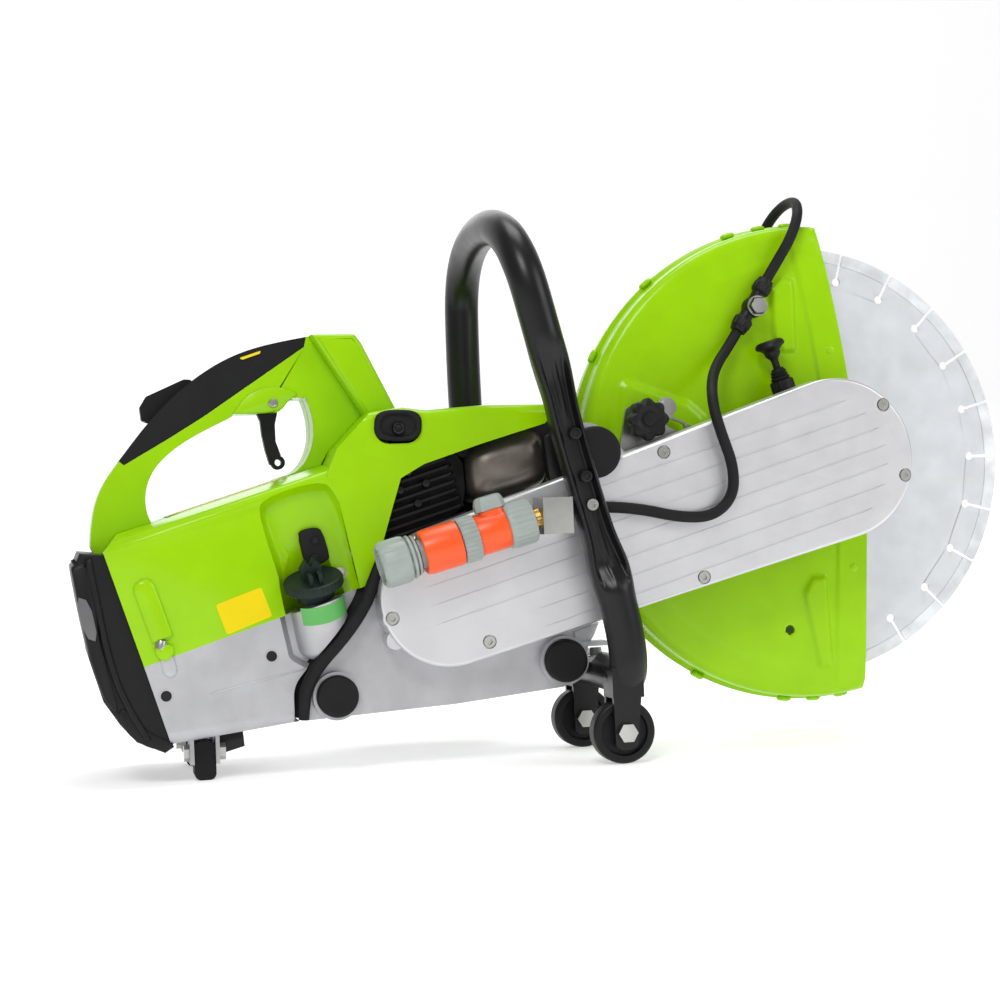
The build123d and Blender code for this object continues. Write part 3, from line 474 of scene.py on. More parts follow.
def inside_distance(point, corners):
    """Distance from a point to the outline of a convex shape, positive inside it."""
    depth = 1e9
    for (ax, ay), (bx, by) in zip(corners, corners[1:] + corners[:1]):
        side = ((bx - ax) * (point[1] - ay) - (by - ay) * (point[0] - ax)) / hypot(bx - ax, by - ay)
        depth = min(depth, -side)
    return depth


UPPER_RIB = [(-20, 150), (-7, 148), (-7, 87), (-21, 86), (-30, 100), (-31, 140)]
LOWER_RIB = [(-4, -92), (11, -91), (14, -168), (-1, -168), (-12, -110), (-12, -104)]
CLAMP_PAD = [(-154, 73), (-99, 53), (-86, 41), (-70, 0), (-120, -30), (-168, 20), (-160, 66)]
DRAIN_HOLE = (-23.0, -135.0)
DRAIN_RADIUS = 4.0
RIVETS = ((20, 89), (33, -87))
CLIP_ANGLES = (152, 130, 106, 98, 90.9, -119, -96, -88.5, -81.3)


def pressing(x, z, near):
    """How far the pressed sheet stands out of the guard's flat face."""
    gap = open_edge(z) - x
    out = PANEL_RISE * step(gap, 27.0, 23.5) * step(hypot(x, z), RIM - 6, RIM - 14)
    if near:
        out += 3.3 * step(inside_distance((x, z), UPPER_RIB), 0, 5) * step(gap, 24, 34)
        out += 3.4 * step(inside_distance((x, z), LOWER_RIB), 0, 5)
        out += 3.2 * step(inside_distance((x, z), CLAMP_PAD), 0, 9)
    out += 0.9 * step(hypot(x, z), RIM - 22, RIM - 30)
    return out


def guard_shell(name, node, facing, turns, rings):
    """One pressed half of the guard: a face with ribs, a rounded corner, a rim wall and a flange."""
    near = facing < 0
    bore = 33.0 if near else 56.0
    corner = [0.25 * k * pi / 2 for k in range(1, 5)]
    verts, faces = [], []
    for n in range(turns):
        angle = 2 * pi * n / turns
        edge, closed = reach(angle)
        radius = RIM_ROUND if closed else EDGE_ROUND
        inner = edge - radius
        stations = []
        for k in range(rings + 1):
            r = bore + (inner - bore) * k / rings
            stations.append((r, FACE + pressing(r * cos(angle), r * sin(angle), near)))
        top = stations[-1][1]
        for bend in corner:
            stations.append((inner + radius * sin(bend), top - radius * (1 - cos(bend))))
        if closed:
            stations += [(RIM, 14.0), (RIM, 3.2), (RIM + 0.6, 1.8), (LIP, 1.4), (LIP, 0.05)]
        else:
            stations += [(edge, stations[-1][1] - k) for k in (0.6, 1.2, 1.8, 2.4, 3.0)]
        for r, depth in stations:
            verts.append(mm(SPINDLE.x + r * cos(angle), facing * depth, SPINDLE.z + r * sin(angle)))
    count = len(stations)
    for n in range(turns):
        m = (n + 1) % turns
        for k in range(count - 1):
            quad = (n * count + k, n * count + k + 1, m * count + k + 1, m * count + k)
            faces.append(quad if near else quad[::-1])
    mesh = mesh_of(name, verts, faces)
    if near:
        drill(mesh, mm(SPINDLE.x + DRAIN_HOLE[0], 0, SPINDLE.z + DRAIN_HOLE[1]), DRAIN_RADIUS * MM)
    shell = add(name, mesh, "green_paint", "guard")
    wall = shell.modifiers.new("sheet", "SOLIDIFY")
    wall.thickness = 0.002
    wall.offset = -1
    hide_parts(node)


def drill(mesh, middle, radius):
    """Opens a round hole along Y through a sheet: the faces go, and the ring round them snaps to size."""
    work = bmesh.new()
    work.from_mesh(mesh)
    for vert in work.verts:
        away = Vector((vert.co.x - middle.x, 0, vert.co.z - middle.z))
        if radius * 0.75 < away.length < radius * 1.25:
            vert.co = Vector((middle.x, vert.co.y, middle.z)) + away.normalized() * radius
    gone = []
    for face in work.faces:
        if max(hypot(v.co.x - middle.x, v.co.z - middle.z) for v in face.verts) < radius * 1.01:
            gone.append(face)
    bmesh.ops.delete(work, geom=gone, context="FACES")
    work.to_mesh(mesh)
    work.free()


def dome(radius, height, sink=1.0, steps=6):
    """Profile of a shallow dome that starts a little under the surface."""
    quarter = [0.5 * pi * k / steps for k in range(steps + 1)]
    return [(radius, -sink)] + [(radius * cos(turn), height * sin(turn)) for turn in quarter]


def guard():
    guard_shell("guard_shell_near", "guard_near_shell", -1, 600, 84)
    guard_shell("guard_shell_far", "guard_far_shell", 1, 360, 50)
    for n, (x, z) in enumerate(RIVETS):
        for side, facing in (("near", -1), ("far", 1)):
            base = (SPINDLE.x + x, facing * (FACE + PANEL_RISE), SPINDLE.z + z)
            turned(f"guard_rivet_{n}_{side}", dome(4.2, 1.8), base, (0, facing, 0), "green_paint", "guard",
                   steps=32)
    for n, angle in enumerate(CLIP_ANGLES):
        clip(n, radians(angle))


def clip(n, angle):
    """A crimped tab that folds over the rim's flange."""
    outward = Vector((cos(angle), 0, sin(angle)))
    along = Vector((-sin(angle), 0, cos(angle)))
    middle = SPINDLE + outward * LIP
    path = [(Vector((middle.x, 0, middle.z)) + along * (k - 6)) * MM for k in range(13)]

    def section(ring, t):
        swell = sqrt(max(0.02, 1 - (2 * t - 1) ** 4))
        return oval(4.6 * swell, 2.6 * swell, 12)

    sweep(f"guard_clip_{n}", path, section, "green_paint", "guard")


# ---------------------------------------------------------------- front handle
HANDLE = ((17, 14, 66), (18, -60, 66), (20, -98, 64), (22, -112, 64), (22, -112, 90), (13, -110.5, 136),
          (-4, -110.5, 196), (-18.5, -110.5, 252), (-24.5, -110.5, 285), (-56, -110.5, 412), (-49, 99, 412),
          (-51, 99, 300), (-47, 99, 200), (-44, 99, 94))
HANDLE_PLANE = Vector((cos(radians(14)), 0, sin(radians(14))))     # normal of the plane it is bent in
HANDLE_SCREWS = ((-13.6, 246.5), (-6.6, 214.5))


def handle_section(place):
    """Half width, half depth and channel depth of the handle's tube at a point of its route."""
    width, depth, channel = 14.0, 14.0, 0.0
    if place.y < -100:
        height = place.z
        channel = step(height, 128, 152) * step(height, 318, 286)
        waist = step(height, 140, 185) * step(height, 310, 265)
        width = 14.2 - 2.2 * waist + 1.3 * step(height, 170, 145) * step(height, 118, 138)
        depth = 14.0 - 1.2 * channel
    return width, depth, channel


def front_handle():
    """Bent tube with its screwed channel, its far foot, and the case flanges it is bolted to."""
    path = route("handle_line", HANDLE)

    def section(n, t):
        place = path[n] / MM
        width, depth, channel = handle_section(place)
        ring = []
        for a, b in superellipse(depth, width, 2 + 0.9 * channel, 112):
            if a > 0 and channel:
                a -= 9.2 * channel * step(abs(b), width - 2.6, width - 6.6)
                fold = step(place.z, 200, 160) + step(place.z, 240, 280)
                a += 2.6 * channel * fold * step(abs(b), 2.6, 0)
            ring.append((a, b))
        return ring

    tube = sweep("front_handle_tube", path, section, "black_coat", "chassis", plane=HANDLE_PLANE)
    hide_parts("front_handle")
    foot = [(-60, 82), (-33, 80), (-28, 92), (-32, 108), (-58, 110), (-63, 96)]
    plate("front_handle_foot", soften(foot), 40, 107, "black_coat", "chassis", 2.0)
    bolt_head("front_handle_foot_bolt", (-45, 107, 95), (0, 1, 0), 7, 5)
    screw = [(4.9, 112), (4.9, 119.6), (4.2, 120.6), (2.8, 120.8), (2.5, 119.9), (0.4, 119.9)]
    for n, (x, z) in enumerate(HANDLE_SCREWS):
        stud(f"handle_screw_{n}", screw, x, z, "black_coat")
    case_corner = [(-6, 97), (14.8, 103), (11, 94), (7.5, 88.8), (-4, 86)]
    plate("case_corner", case_corner, -61, -40, "cast_silver", "chassis", 1.0)
    for level_name, low in (("upper", 85.2), ("lower", 73.0)):
        flange = [(-2, low), (20, low), (20, low + 3.6), (-2, low + 3.6)]
        plate(f"handle_flange_{level_name}", flange, -64, -46, "cast_silver", "chassis", 0.6)
    bolt_head("handle_flange_bolt", (12.5, -56, 76.6), (0, 0, 1), 4.8, 7)


# ---------------------------------------------------------------- engine seen through the side opening
BOSSES = ((-127.8, 223.8), (-134.4, 210.2), (-114.4, 214.9), (-121.2, 199.8))
MUFFLER_NEAR, MUFFLER_DEPTH = -57, 91
MUFFLER_ROUND = 24                 # its ends close over this length
MUFFLER_LEAN = radians(12)


def engine():
    """Dark sheets of painted shade behind the fins and the muffler, cast bosses between the fins, and the
    rounded muffler.
    """
    # painted shade: black sheets behind the fins, behind the cylinder and above the muffler stand in for the
    # shade inside the opening
    fan_shade_outline = [(-150, 168), (-84, 182), (-20, 196), (12, 210), (8, 262), (-60, 262), (-150, 262), (-160, 240)]
    plate("fan_shade_backdrop", soften(fan_shade_outline, 1), 43, 47, "painted_shade_black", "chassis", 1.0)
    backing = [(-158, 168), (-95, 188), (-82, 198), (-84, 240), (-120, 250), (-150, 240), (-160, 205)]
    plate("cylinder_shade_backdrop", soften(backing, 1), -44.5, -39, "painted_shade_black", "chassis", 1.0)
    muffler_shade_outline = [(-96, 246), (-60, 252), (-14, 262), (-2, 262), (-4, 214), (-16, 222), (-60, 230), (-96, 236)]
    plate("muffler_shade_backdrop", muffler_shade_outline, -42, -39, "painted_shade_black", "chassis", 1.0)
    for n, (x, z) in enumerate(BOSSES):
        stud(f"cylinder_boss_{n}", [(3.2, 0), (3.2, 9), (2.8, 9.8), (1.2, 10)], x, z, "black_coat", steps=24,
             y=-43)
    rings = []
    for k in range(25):
        t = k / 24
        y = MUFFLER_NEAR + MUFFLER_DEPTH * t
        edge = min(t, 1 - t) * MUFFLER_DEPTH
        share = (1 - max(0.0, 1 - edge / MUFFLER_ROUND) ** 2.2) ** (1 / 2.2)
        inset = 17 * (1 - share)
        ring = []
        for a, b in superellipse(33.5 - inset * 0.9, 25.0 - inset, 3.4, 64):
            ring.append((-50 + a * cos(MUFFLER_LEAN) - b * 0.10, y, 226.5 + b + a * sin(MUFFLER_LEAN)))
        rings.append(ring)
    can = stack("muffler_can", rings, "muffler_metal", "chassis", 60)
    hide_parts("muffler")
    strap = [(-24, 247), (-13, 251), (-4, 236), (1, 201), (-12, 204.5), (-20, 209)]
    plate("muffler_strap", strap, -64, -52, "black_coat", "chassis", 1.0)
    shelf = [(-68, 194), (-67, 199), (-28, 210.6), (-13, 204), (-6, 199), (-36, 196), (-60, 188)]
    plate("muffler_shelf", shelf, -84, -66, "cast_silver", "chassis", 1.0)


# ---------------------------------------------------------------- water coupling
KIT_START = Vector((-160.9, -105.0, 154.5))        # end of the hose nut
VALVE_ALONG = 90.5                                 # the valve sits this far from it


def coupling():
    """Hose nut, collars, sliding sleeve, knurled rings, valve and brass nipple on one axis."""
    def on_axis(name, profile, finish, node=None, body="chassis", **options):
        piece = turned(name, profile, KIT_START, ALONG_KIT, finish, body, **options)
        if node:
            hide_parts(node)
        return piece

    on_axis("coupling_nut", [(6.6, 20.5), (6.6, 3.2), (8.6, 2.6), (8.8, 0.9), (10.4, 0.9), (10.6, 3),
                             (12.6, 3), (12.8, 0.2), (14.6, 0), (16.4, 1.2), (17.5, 4.5), (17.5, 18),
                             (16.6, 20.8), (14, 22.3), (11, 22.5)], "grey_plastic", "hose_nut", teeth=8,
            tooth=0.9, steps=128, grip=16)
    on_axis("coupling_nut_core", [(6.4, 12), (6.4, 4.6), (4.2, 4.6), (4.2, 12)], "black_rubber")
    core = on_axis("coupling_core", [(9, 20), (15, 22.6), (16.2, 23), (16.2, 24.6), (15.8, 25), (12.5, 25.2),
                                     (12.5, 26.3), (15, 26.5), (15.2, 27.6), (14.6, 28.5), (10.8, 28.7),
                                     (10.8, 63), (6, 64)], "grey_plastic")
    # painted shade: a black ring at the start of the gap before the slider stands in for the gap's shade
    on_axis("coupling_gap_shade_ring", [(10.9, 28.8), (13.8, 28.8), (13.8, 29.3), (10.9, 29.4)], "black_rubber")
    on_axis("coupling_slider", [(12.2, 33.4), (15.2, 32.5), (16.3, 33.4), (16.8, 36), (17, 58.6), (16.6, 61),
                                (15.6, 61.6), (14.2, 61.2), (11.4, 57), (11.4, 34.4)], "orange_plastic",
            "coupling_sleeve", "sleeve")
    on_axis("coupling_ring", [(10, 61.9), (14.6, 61.9), (16.6, 62.3), (17.2, 63.3), (17.2, 73.6),
                              (16.6, 74.8), (10, 75.2)], "grey_plastic", teeth=30, tooth=0.75, grip=16.5)
    on_axis("coupling_front_nut", [(8, 98.6), (14.8, 98.4), (16.2, 99), (17, 101), (17.1, 104),
                                   (17.1, 116.6), (16, 118.6), (9, 119)], "grey_plastic", teeth=26,
            tooth=0.8, grip=17.05)
    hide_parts("knurled_rings")
    on_axis("coupling_valve", [(10, 74.6), (14.4, 75), (15, 76.4), (15, 97), (14.2, 99), (9, 99.5)],
            "orange_plastic", "valve_body")
    seat = KIT_START + ALONG_KIT * VALVE_ALONG
    rings = []
    for height, half in ((3, 13.0), (8, 12.4), (11, 10.8), (14, 10.0), (15.7, 9.8), (16.1, 9.2)):
        shape = superellipse(half, half * 0.92, 2.6, 48)
        rings.append([seat + ABOVE_KIT * height + ALONG_KIT * a + NEAR * b for a, b in shape])
    stack("coupling_valve_seat", rings, "orange_plastic", "chassis", 40)
    octagon = [(-11, -3.5), (-7.5, -7.5), (7.5, -7.5), (11, -3.5), (11, 3.5), (7.5, 7.5), (-7.5, 7.5),
               (-11, 3.5)]
    rings = []
    for height, share in ((16.3, 1.0), (17, 1.04), (21.5, 1.02), (25.2, 0.90), (26.4, 0.80), (26.8, 0.66)):
        level = seat + ABOVE_KIT * height
        rings.append([level + ALONG_KIT * a * share + NEAR * b * share for a, b in octagon])
    knob = stack("coupling_valve_knob", rings, "grey_plastic", "valve", 25)
    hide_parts("valve_knob")
    on_axis("coupling_nipple", [(4, 117), (6.4, 118.4), (6.4, 119.6), (5.4, 120), (5.4, 120.8), (7.2, 121.2),
                                (7.4, 124.8), (5, 125.2), (4.6, 126.2), (5, 127), (4.6, 128), (4, 129)],
            "brass", "brass_nipple", teeth=6, tooth=0.7, grip=7, steps=96)


# ---------------------------------------------------------------- guard fittings
LOCK_ALONG, LOCK_Y = 315.5, -45
STAR_KNOB = Vector((58.2, 0, 257.4))
STAR_RADIUS, STAR_LOBES, STAR_LOBE_HEIGHT = 14.4, 8, 2.6


def guard_fittings():
    """Hose clamps and tee on the guard, the spindle lock, and the star knob."""
    low, high = Vector(WATER_HOSE[-1]), Vector(GUARD_HOSE[0])
    along = (high - low).normalized()
    clamp = [(4.4, -3), (6.2, -2.6), (6.6, -1), (6.6, 1.4), (7.6, 2), (7.8, 7.4), (7, 8.6), (5.4, 9.6),
             (5, 10)]
    for end, spot, facing in (("low", low, along), ("high", high, -along)):
        turned(f"hose_clamp_{end}", clamp, spot, facing, "black_plastic", "guard", teeth=16, tooth=0.5,
               grip=7.2)
    middle = low + along * (high - low).length / 2
    x, z = middle.x + 2, middle.z - 1
    boss = [(8.6, 0), (8.4, 10), (7.4, 11.6), (3, 12)]
    stud("hose_tee_boss", boss, x, z, "black_plastic", "guard", steps=64, y=-33)
    bolt_head("hose_tee_bolt", (x, -44.6, z), NEAR, 6.6, 5, body="guard")
    base = arm(LOCK_ALONG, 0, LOCK_Y)

    def on_lock(name, profile, finish, body, node=None, **options):
        piece = turned(name, profile, base, ABOVE_ARM, finish, body, **options)
        if node:
            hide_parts(node)

    on_lock("lock_sleeve", [(3.2, 55), (9.2, 55.4), (9.6, 57), (9.6, 68.5), (9, 70), (6, 71), (3.2, 71)],
            "black_plastic", "chassis", "lock_barrel", teeth=12, tooth=0.5, grip=9.5)
    on_lock("lock_thread", [(6, 48), (7.2, 49), (6.6, 50), (7.2, 51), (6.6, 52), (7.2, 53), (6.6, 54),
                            (7.2, 55), (6, 56)], "zinc_steel", "chassis")
    on_lock("lock_boot", [(4, 70), (7.6, 71), (7.8, 72.2), (6.4, 73.4), (7.2, 74.6), (5.9, 75.8), (6.6, 77),
                          (5.4, 78.4), (4.6, 80), (3.2, 80.2)], "black_rubber", "chassis")
    on_lock("lock_button", [(2.9, 18), (2.9, 86), (3.6, 88), (6, 90.6), (6.4, 92), (6.6, 94), (8.5, 96),
                            (11.4, 97.6), (12, 99), (11.4, 101), (9.6, 102.6), (7, 102.9), (5.6, 101.8),
                            (2, 101.4)], "black_plastic", "lock", "lock_knob")
    rings = []
    for y, share, lobe in ((-60, 0.50, 0.3), (-61, 0.60, 0.5), (-62, 0.93, 0.9), (-63.4, 1.0, 1.0),
                           (-70.5, 1.0, 1.0), (-72.6, 0.95, 1.0), (-73.8, 0.80, 0.8), (-73.4, 0.62, 0.4),
                           (-72.6, 0.50, 0.1), (-72.8, 0.40, 0.0), (-73.6, 0.36, 0.0), (-73.9, 0.20, 0.0)):
        ring = []
        for k in range(128):
            angle = 2 * pi * k / 128
            wave = 0.5 + 0.5 * cos(STAR_LOBES * angle)
            r = share * (STAR_RADIUS + lobe * (STAR_LOBE_HEIGHT * wave ** 0.8 - 0.5))
            ring.append((STAR_KNOB.x + r * cos(angle), y, STAR_KNOB.z + r * sin(angle)))
        rings.append(ring)
    knob = stack("star_knob", rings, "black_plastic", "clamp_knob", 40)
    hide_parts("guard_knob")
    stud("star_knob_hub", [(4.2, 50.5), (7.6, 50.8), (8, 52), (8, 61), (4.2, 61)], STAR_KNOB.x, STAR_KNOB.z,
         "black_plastic", "clamp_knob", steps=64)
    bolt_head("guard_bracket_bolt", (78, -50, 267), NEAR, 6.2, 5)


# ---------------------------------------------------------------- decompression button and fuel cap
def grommet():
    """Oval rubber grommet, dished inside its raised rim, with the decompression button in the middle."""
    rings = []
    for y, inset, power in ((-62, 0, 3.0), (-67.5, 0, 3.0), (-69.3, 0.9, 3.0), (-69.9, 2.4, 2.9),
                            (-69.3, 4.2, 2.8), (-67.2, 5.4, 2.6), (-66.4, 7.2, 2.5), (-66.6, 10.0, 2.3)):
        ring = []
        for a, b in superellipse(18.0 - inset, 11.8 - inset * 0.72, power, 72):
            ring.append((-136.8 + a + 0.06 * b, y, 258.6 + b - 0.03 * a))
        rings.append(ring)
    rim = stack("grommet_rim", rings, "black_rubber", "chassis", 60)
    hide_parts("decompression_grommet")
    pin = [(4.8, 60), (4.8, 69.2), (4.2, 70.2), (3.0, 70.5), (2.4, 69.6), (0.8, 69.4)]
    button = stud("grommet_button", pin, -137, 256.5, "black_coat", "decompressor")
    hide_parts("decompression_button")


CAP_CENTRE = Vector((-205.0, -70.0, 141.0))
CAP_LEAN = radians(20)
CAP_TILT = radians(11)
CAP_AXIS = Vector((-sin(CAP_TILT) * cos(CAP_LEAN), -sin(CAP_LEAN), cos(CAP_TILT) * cos(CAP_LEAN)))
NECK_RADIUS = 20.75
NECK_LABEL_START, NECK_LABEL_SPAN, NECK_LABEL_STEPS = -48, 112, 24


def fuel_cap():
    """Screw cap with a rolled rim and a toothed wing, and the label wrapped round the neck."""
    disc = [(12, -9), (14, -8.6), (14, -0.2), (21.6, 0), (22.4, 1), (22.4, 5.2), (21.6, 6.8), (20.2, 7.4),
            (18.6, 6.9), (8, 7.6), (2, 7.7)]
    cap = turned("fuel_cap_disc", disc, CAP_CENTRE, CAP_AXIS, "dark_cap", "cap", teeth=40, tooth=0.35,
                 grip=21.9)
    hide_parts("fuel_cap")
    across = ALONG_ARM - CAP_AXIS * ALONG_ARM.dot(CAP_AXIS)
    across.normalize()
    out = CAP_AXIS.cross(across)
    near = -out if out.y > 0 else out
    top = CAP_CENTRE + CAP_AXIS * 7
    wing = [(-8.5, -1), (-7.8, 5), (-8.6, 9), (-3.4, 15.5), (-0.4, 11), (2.8, 15.5), (8.0, 8.5), (7.6, 5),
            (8.4, -1)]
    rings = []
    for depth, inset in ((-4.2, 0.8), (-3.6, 0.2), (3.6, 0.2), (4.2, 0.8)):
        rings.append([top + across * a + CAP_AXIS * b - out * depth for a, b in shrink(wing, inset)])
    stack("fuel_cap_wing", rings, "dark_cap", "cap", 40)
    for n, shift in enumerate((-3.6, 3.6)):
        lip = [(shift - 1.5, -0.5), (shift + 1.5, -0.5), (shift + 1.5, 7.5), (shift - 1.5, 7.5)]
        rings = [[top + across * a + CAP_AXIS * b + near * depth for a, b in lip] for depth in (4, 14, 15)]
        stack(f"fuel_cap_rib_{n}", rings, "dark_cap", "cap", 30)
    label, columns = [], NECK_LABEL_STEPS + 1
    for height in (-8.0, -22.0):
        for k in range(columns):
            angle = radians(NECK_LABEL_START + NECK_LABEL_SPAN * k / NECK_LABEL_STEPS)
            side = near * cos(angle) + across * sin(angle)
            label.append((CAP_CENTRE + CAP_AXIS * height + side * NECK_RADIUS) * MM)
    faces = [(k, k + 1, k + 1 + columns, k + columns) for k in range(NECK_LABEL_STEPS)]
    add("neck_label", mesh_of("neck_label", label, faces), "green_label", "chassis")


# ---------------------------------------------------------------- rubber pieces, labels and mouldings
BODY_SIDE = -66.0                  # near side of the rear body and the tank
CASE_TOP = 122.05                  # height of the rear body's top above the belt arm's line
STRIP_START = (-308 - CRANK.x + CASE_TOP * sin(ARM_TILT)) / cos(ARM_TILT)
LABEL_THICKNESS, LABEL_CORNER = 0.3, 1.2


def flat_sheet(name, corners, finish="yellow_label"):
    """Blank sticker, or a pale sheet of painted reflection: a thin sheet over four corners, with clipped
    corner points.
    """
    ring = [Vector(c) for c in corners]
    normal = (ring[1] - ring[0]).cross(ring[3] - ring[0]).normalized()
    if normal.y > 0:
        normal = -normal
    rounded = []
    for n in range(4):
        here, before, after = ring[n], ring[n - 1], ring[(n + 1) % 4]
        for t in (0.0, 0.5, 1.0):
            start = here + (before - here).normalized() * LABEL_CORNER * (1 - t)
            rounded.append(start + (after - here).normalized() * LABEL_CORNER * t)
    stack(name, [rounded, [point + normal * LABEL_THICKNESS for point in rounded]], finish, "chassis", 30)


def rubber_and_seal():
    """Rubber plate with its eyes, the tank's two holes, a body bolt, and the seal along the joint: rubber at
    its top, painted shade of the joint's groove lower down, with painted shade filling the joint behind it.
    """
    rubber = [(-214.5, 180), (-211, 183.4), (-200.6, 185), (-196, 182), (-191, 163.1), (-193, 159),
              (-205.9, 155.5), (-210, 158)]
    plate("rubber_plate", soften(rubber, 1), -61, -55, "black_rubber", "chassis", 1.4)
    for n, (x, z) in enumerate(((-201.5, 175.1), (-202.7, 162.8))):
        stud(f"rubber_plate_eye_{n}", [(3.8, 60.2), (3.5, 61.6), (2.9, 61.7), (2.5, 60.7), (2.4, 58)], x, z,
             "black_rubber", steps=32)
        # painted shade: a black disc in each eye stands in for the shade of its hole
        stud(f"rubber_plate_hole_{n}", [(2.5, 58), (2.5, 61.1), (0.4, 61.12)], x, z, "painted_shade_black", steps=32)
    for n, (x, z) in enumerate(((-316, 66), (-238, 91))):
        rim = [(3.9, 62), (4.1, 65.4), (4.9, 66.2), (5.5, 66.15), (5.8, 65.8), (5.8, 64)]
        stud(f"tank_hole_rim_{n}", rim, x, z, "cast_silver", steps=40)
        # painted shade: a black disc in each hole stands in for the shade inside it
        stud(f"tank_hole_{n}", [(3.95, 61), (3.95, 65.95), (0.4, 66.0)], x, z, "painted_shade_black", steps=40)
    bolt_head("body_bolt", (-184.7, -64, 149.5), Vector((0, -1, 0.5)), 3.4, 4)
    # Black sweep along the joint: a rubber seal at its top and painted shade of the groove in the casting
    # lower down.
    seam_path = route("seam_line", [(-154, -71, 157), (-161, -72, 142), (-168, -72, 125), (-184, -71.5, 103),
                               (-203, -71, 84), (-213.5, -70, 68), (-215.5, -68, 54), (-216, -66, 43)])

    def lip(n, t):
        return [(0.9 * a, b) for a, b in circle(5.0 - 0.9 * step(t, 0.72, 1.0), 28)]

    seal_and_shade = sweep("seam_seal_and_shade", seam_path, lip, "black_rubber", "chassis")
    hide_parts("gap_seal")
    # painted shade: a black tube behind the seal fills the joint with shade.
    behind = [point + Vector((-1.6, 17, 0)) * MM for point in seam_path[2:-1]]
    sweep("seam_shade_fill", behind, lambda n, t: circle(6.2), "painted_shade_black", "chassis")


def trigger_and_labels():
    """Bracket and pin of the trigger, the blank labels on grip, side and top, and the pale sheet of painted
    reflection on the top.
    """
    bracket = [(-256, 272.6), (-254, 275), (-246, 286), (-235, 292), (-222.7, 293.4), (-211, 291),
               (-204, 287), (-211, 283.4), (-219.5, 273.4)]
    plate("trigger_bracket", soften(bracket, 1), -19.4, -14, "green_paint", "chassis", 1.6)
    stud("trigger_pin_head", [(3.5, 17), (3.5, 20.4), (3.0, 21), (2.2, 21.1), (1.9, 20.4), (0.4, 20.4)],
         -224.3, 280.4, "zinc_steel")
    flat_sheet("grip_label", [(-249, -16.2, 318.7), (-247.3, -18.7, 313.8), (-231.8, -18.7, 318.8),
                              (-233.5, -16.2, 323.4)])
    side = ((-277.7, 130.9), (-243.8, 142.5), (-236.4, 120.6), (-270.1, 108.4))
    flat_sheet("side_label", [(x, BODY_SIDE, z) for x, z in side])
    # painted reflection: the pale strip under the top labels paints the white light reflected by the body's
    # top in the hand space
    reflection_corners = [arm(STRIP_START + a, CASE_TOP, y) for a, y in ((0, -30), (96, -30), (96, 34), (0, 34))]
    flat_sheet("hand_space_reflection_strip", reflection_corners, "painted_reflection_pale")
    for n in range(4):
        low, high = STRIP_START + 3 + 23.5 * n, STRIP_START + 21 + 23.5 * n
        square = ((low, -27), (high, -27), (high, -4), (low, -4))
        flat_sheet(f"hand_space_label_{n}", [arm(a, CASE_TOP + LABEL_THICKNESS, y) for a, y in square])


def mouldings():
    """The body's moulded rib and lug with its screw, the tank's post and the cast line under its hole."""
    path = [mm(-331 + 14 * k / 30, BODY_SIDE - 0.6, 152 - 44 * k / 30) for k in range(31)]

    def rib(n, t):
        swell = sqrt(max(0.001, 1 - (1 - min(1, t / 0.18)) ** 2))
        return oval(2.8 * swell, 8.2 * swell, 24)

    sweep("body_rib", path, rib, "green_paint", "chassis")
    lug = [(-324, 103), (-310, 104.5), (-308.6, 96.5), (-315, 91), (-322, 94)]
    plate("body_lug", soften(lug, 2), -70.5, -62, "green_paint", "chassis", 2.0)
    screw = [(4.4, 0), (4.4, 5.6), (3.8, 6.6), (2.2, 6.8), (2.0, 5), (0.4, 5)]
    turned("lug_screw", screw, (-319, -66.5, 100.5), (0.24, 0, 0.97), "zinc_steel", "chassis", steps=36)
    groove = [mm(-314.5 + 3.4 * k / 20, -65.2, 94 - 15 * k / 20) for k in range(21)]

    def post(n, t):
        swell = sqrt(max(0.001, 1 - max(0, (t - 0.6) / 0.4) ** 2))
        return oval(3.0 * swell, 5.6 * swell, 20)

    sweep("tank_post", groove, post, "cast_silver", "chassis")
    line = [mm(-283.8 + 70.3 * t, BODY_SIDE, 65.8 + 14.6 * t) for t in (0, 0.03, 0.5, 0.97, 1)]
    sweep("cast_line", line, lambda n, t: circle(0.2 if n in (0, 4) else 0.7, 10), "cast_silver", "chassis")


def rear_cover():
    """Layers of the black cover at the rear end, and the bracket under the body."""
    panel = [(-381, 161), (-379, 164.5), (-371, 167), (-366.5, 160), (-361, 108), (-353, 66), (-350, 55),
             (-354, 55.5), (-361, 65), (-370, 94)]
    plate("rear_cover_panel", soften(panel, 2), -64, 82, "black_plastic", "chassis", 4.0)
    screen = [(-378.4, 142), (-368, 138), (-362.5, 107.5), (-372.4, 111.5)]
    plate("rear_cover_screen", soften(screen, 1), -65.2, -60, "grey_screen", "chassis", 0.6)
    bead = [(-368, 168), (-362, 130), (-356, 95), (-346, 62), (-330, 34)]
    path = route("cover_bead_line", [(x, -62.5, z) for x, z in bead])
    sweep("rear_cover_bead", path, lambda n, t: circle(2.6, 16), "black_plastic", "chassis")
    hook = [(-379, 168.5), (-377.5, 165), (-373, 163.5), (-367, 165)]
    path = route("cover_hook_line", [(x, -58, z) for x, z in hook])
    sweep("rear_cover_hook", path, lambda n, t: circle(1.6, 12), "black_plastic", "chassis")
    tail = [(-352, 58), (-346, 40), (-330, 28), (-314, 26), (-312, 31), (-330, 40), (-343, 58)]
    plate("rear_cover_tail", soften(tail, 2), -63.5, -59, "black_plastic", "chassis", 1.4)
    foot = [(-277, 31), (-258, 34), (-257, 22), (-272, 18), (-278, 22)]
    plate("foot_bracket", foot, -30, 54, "black_coat", "chassis", 1.0)


HOLLOW_RIM = [(-240, 208), (-244, 196), (-227, 138), (-221, 100), (-172, 100), (-168, 152), (-178, 188),
              (-186, 210), (-196, 220)]
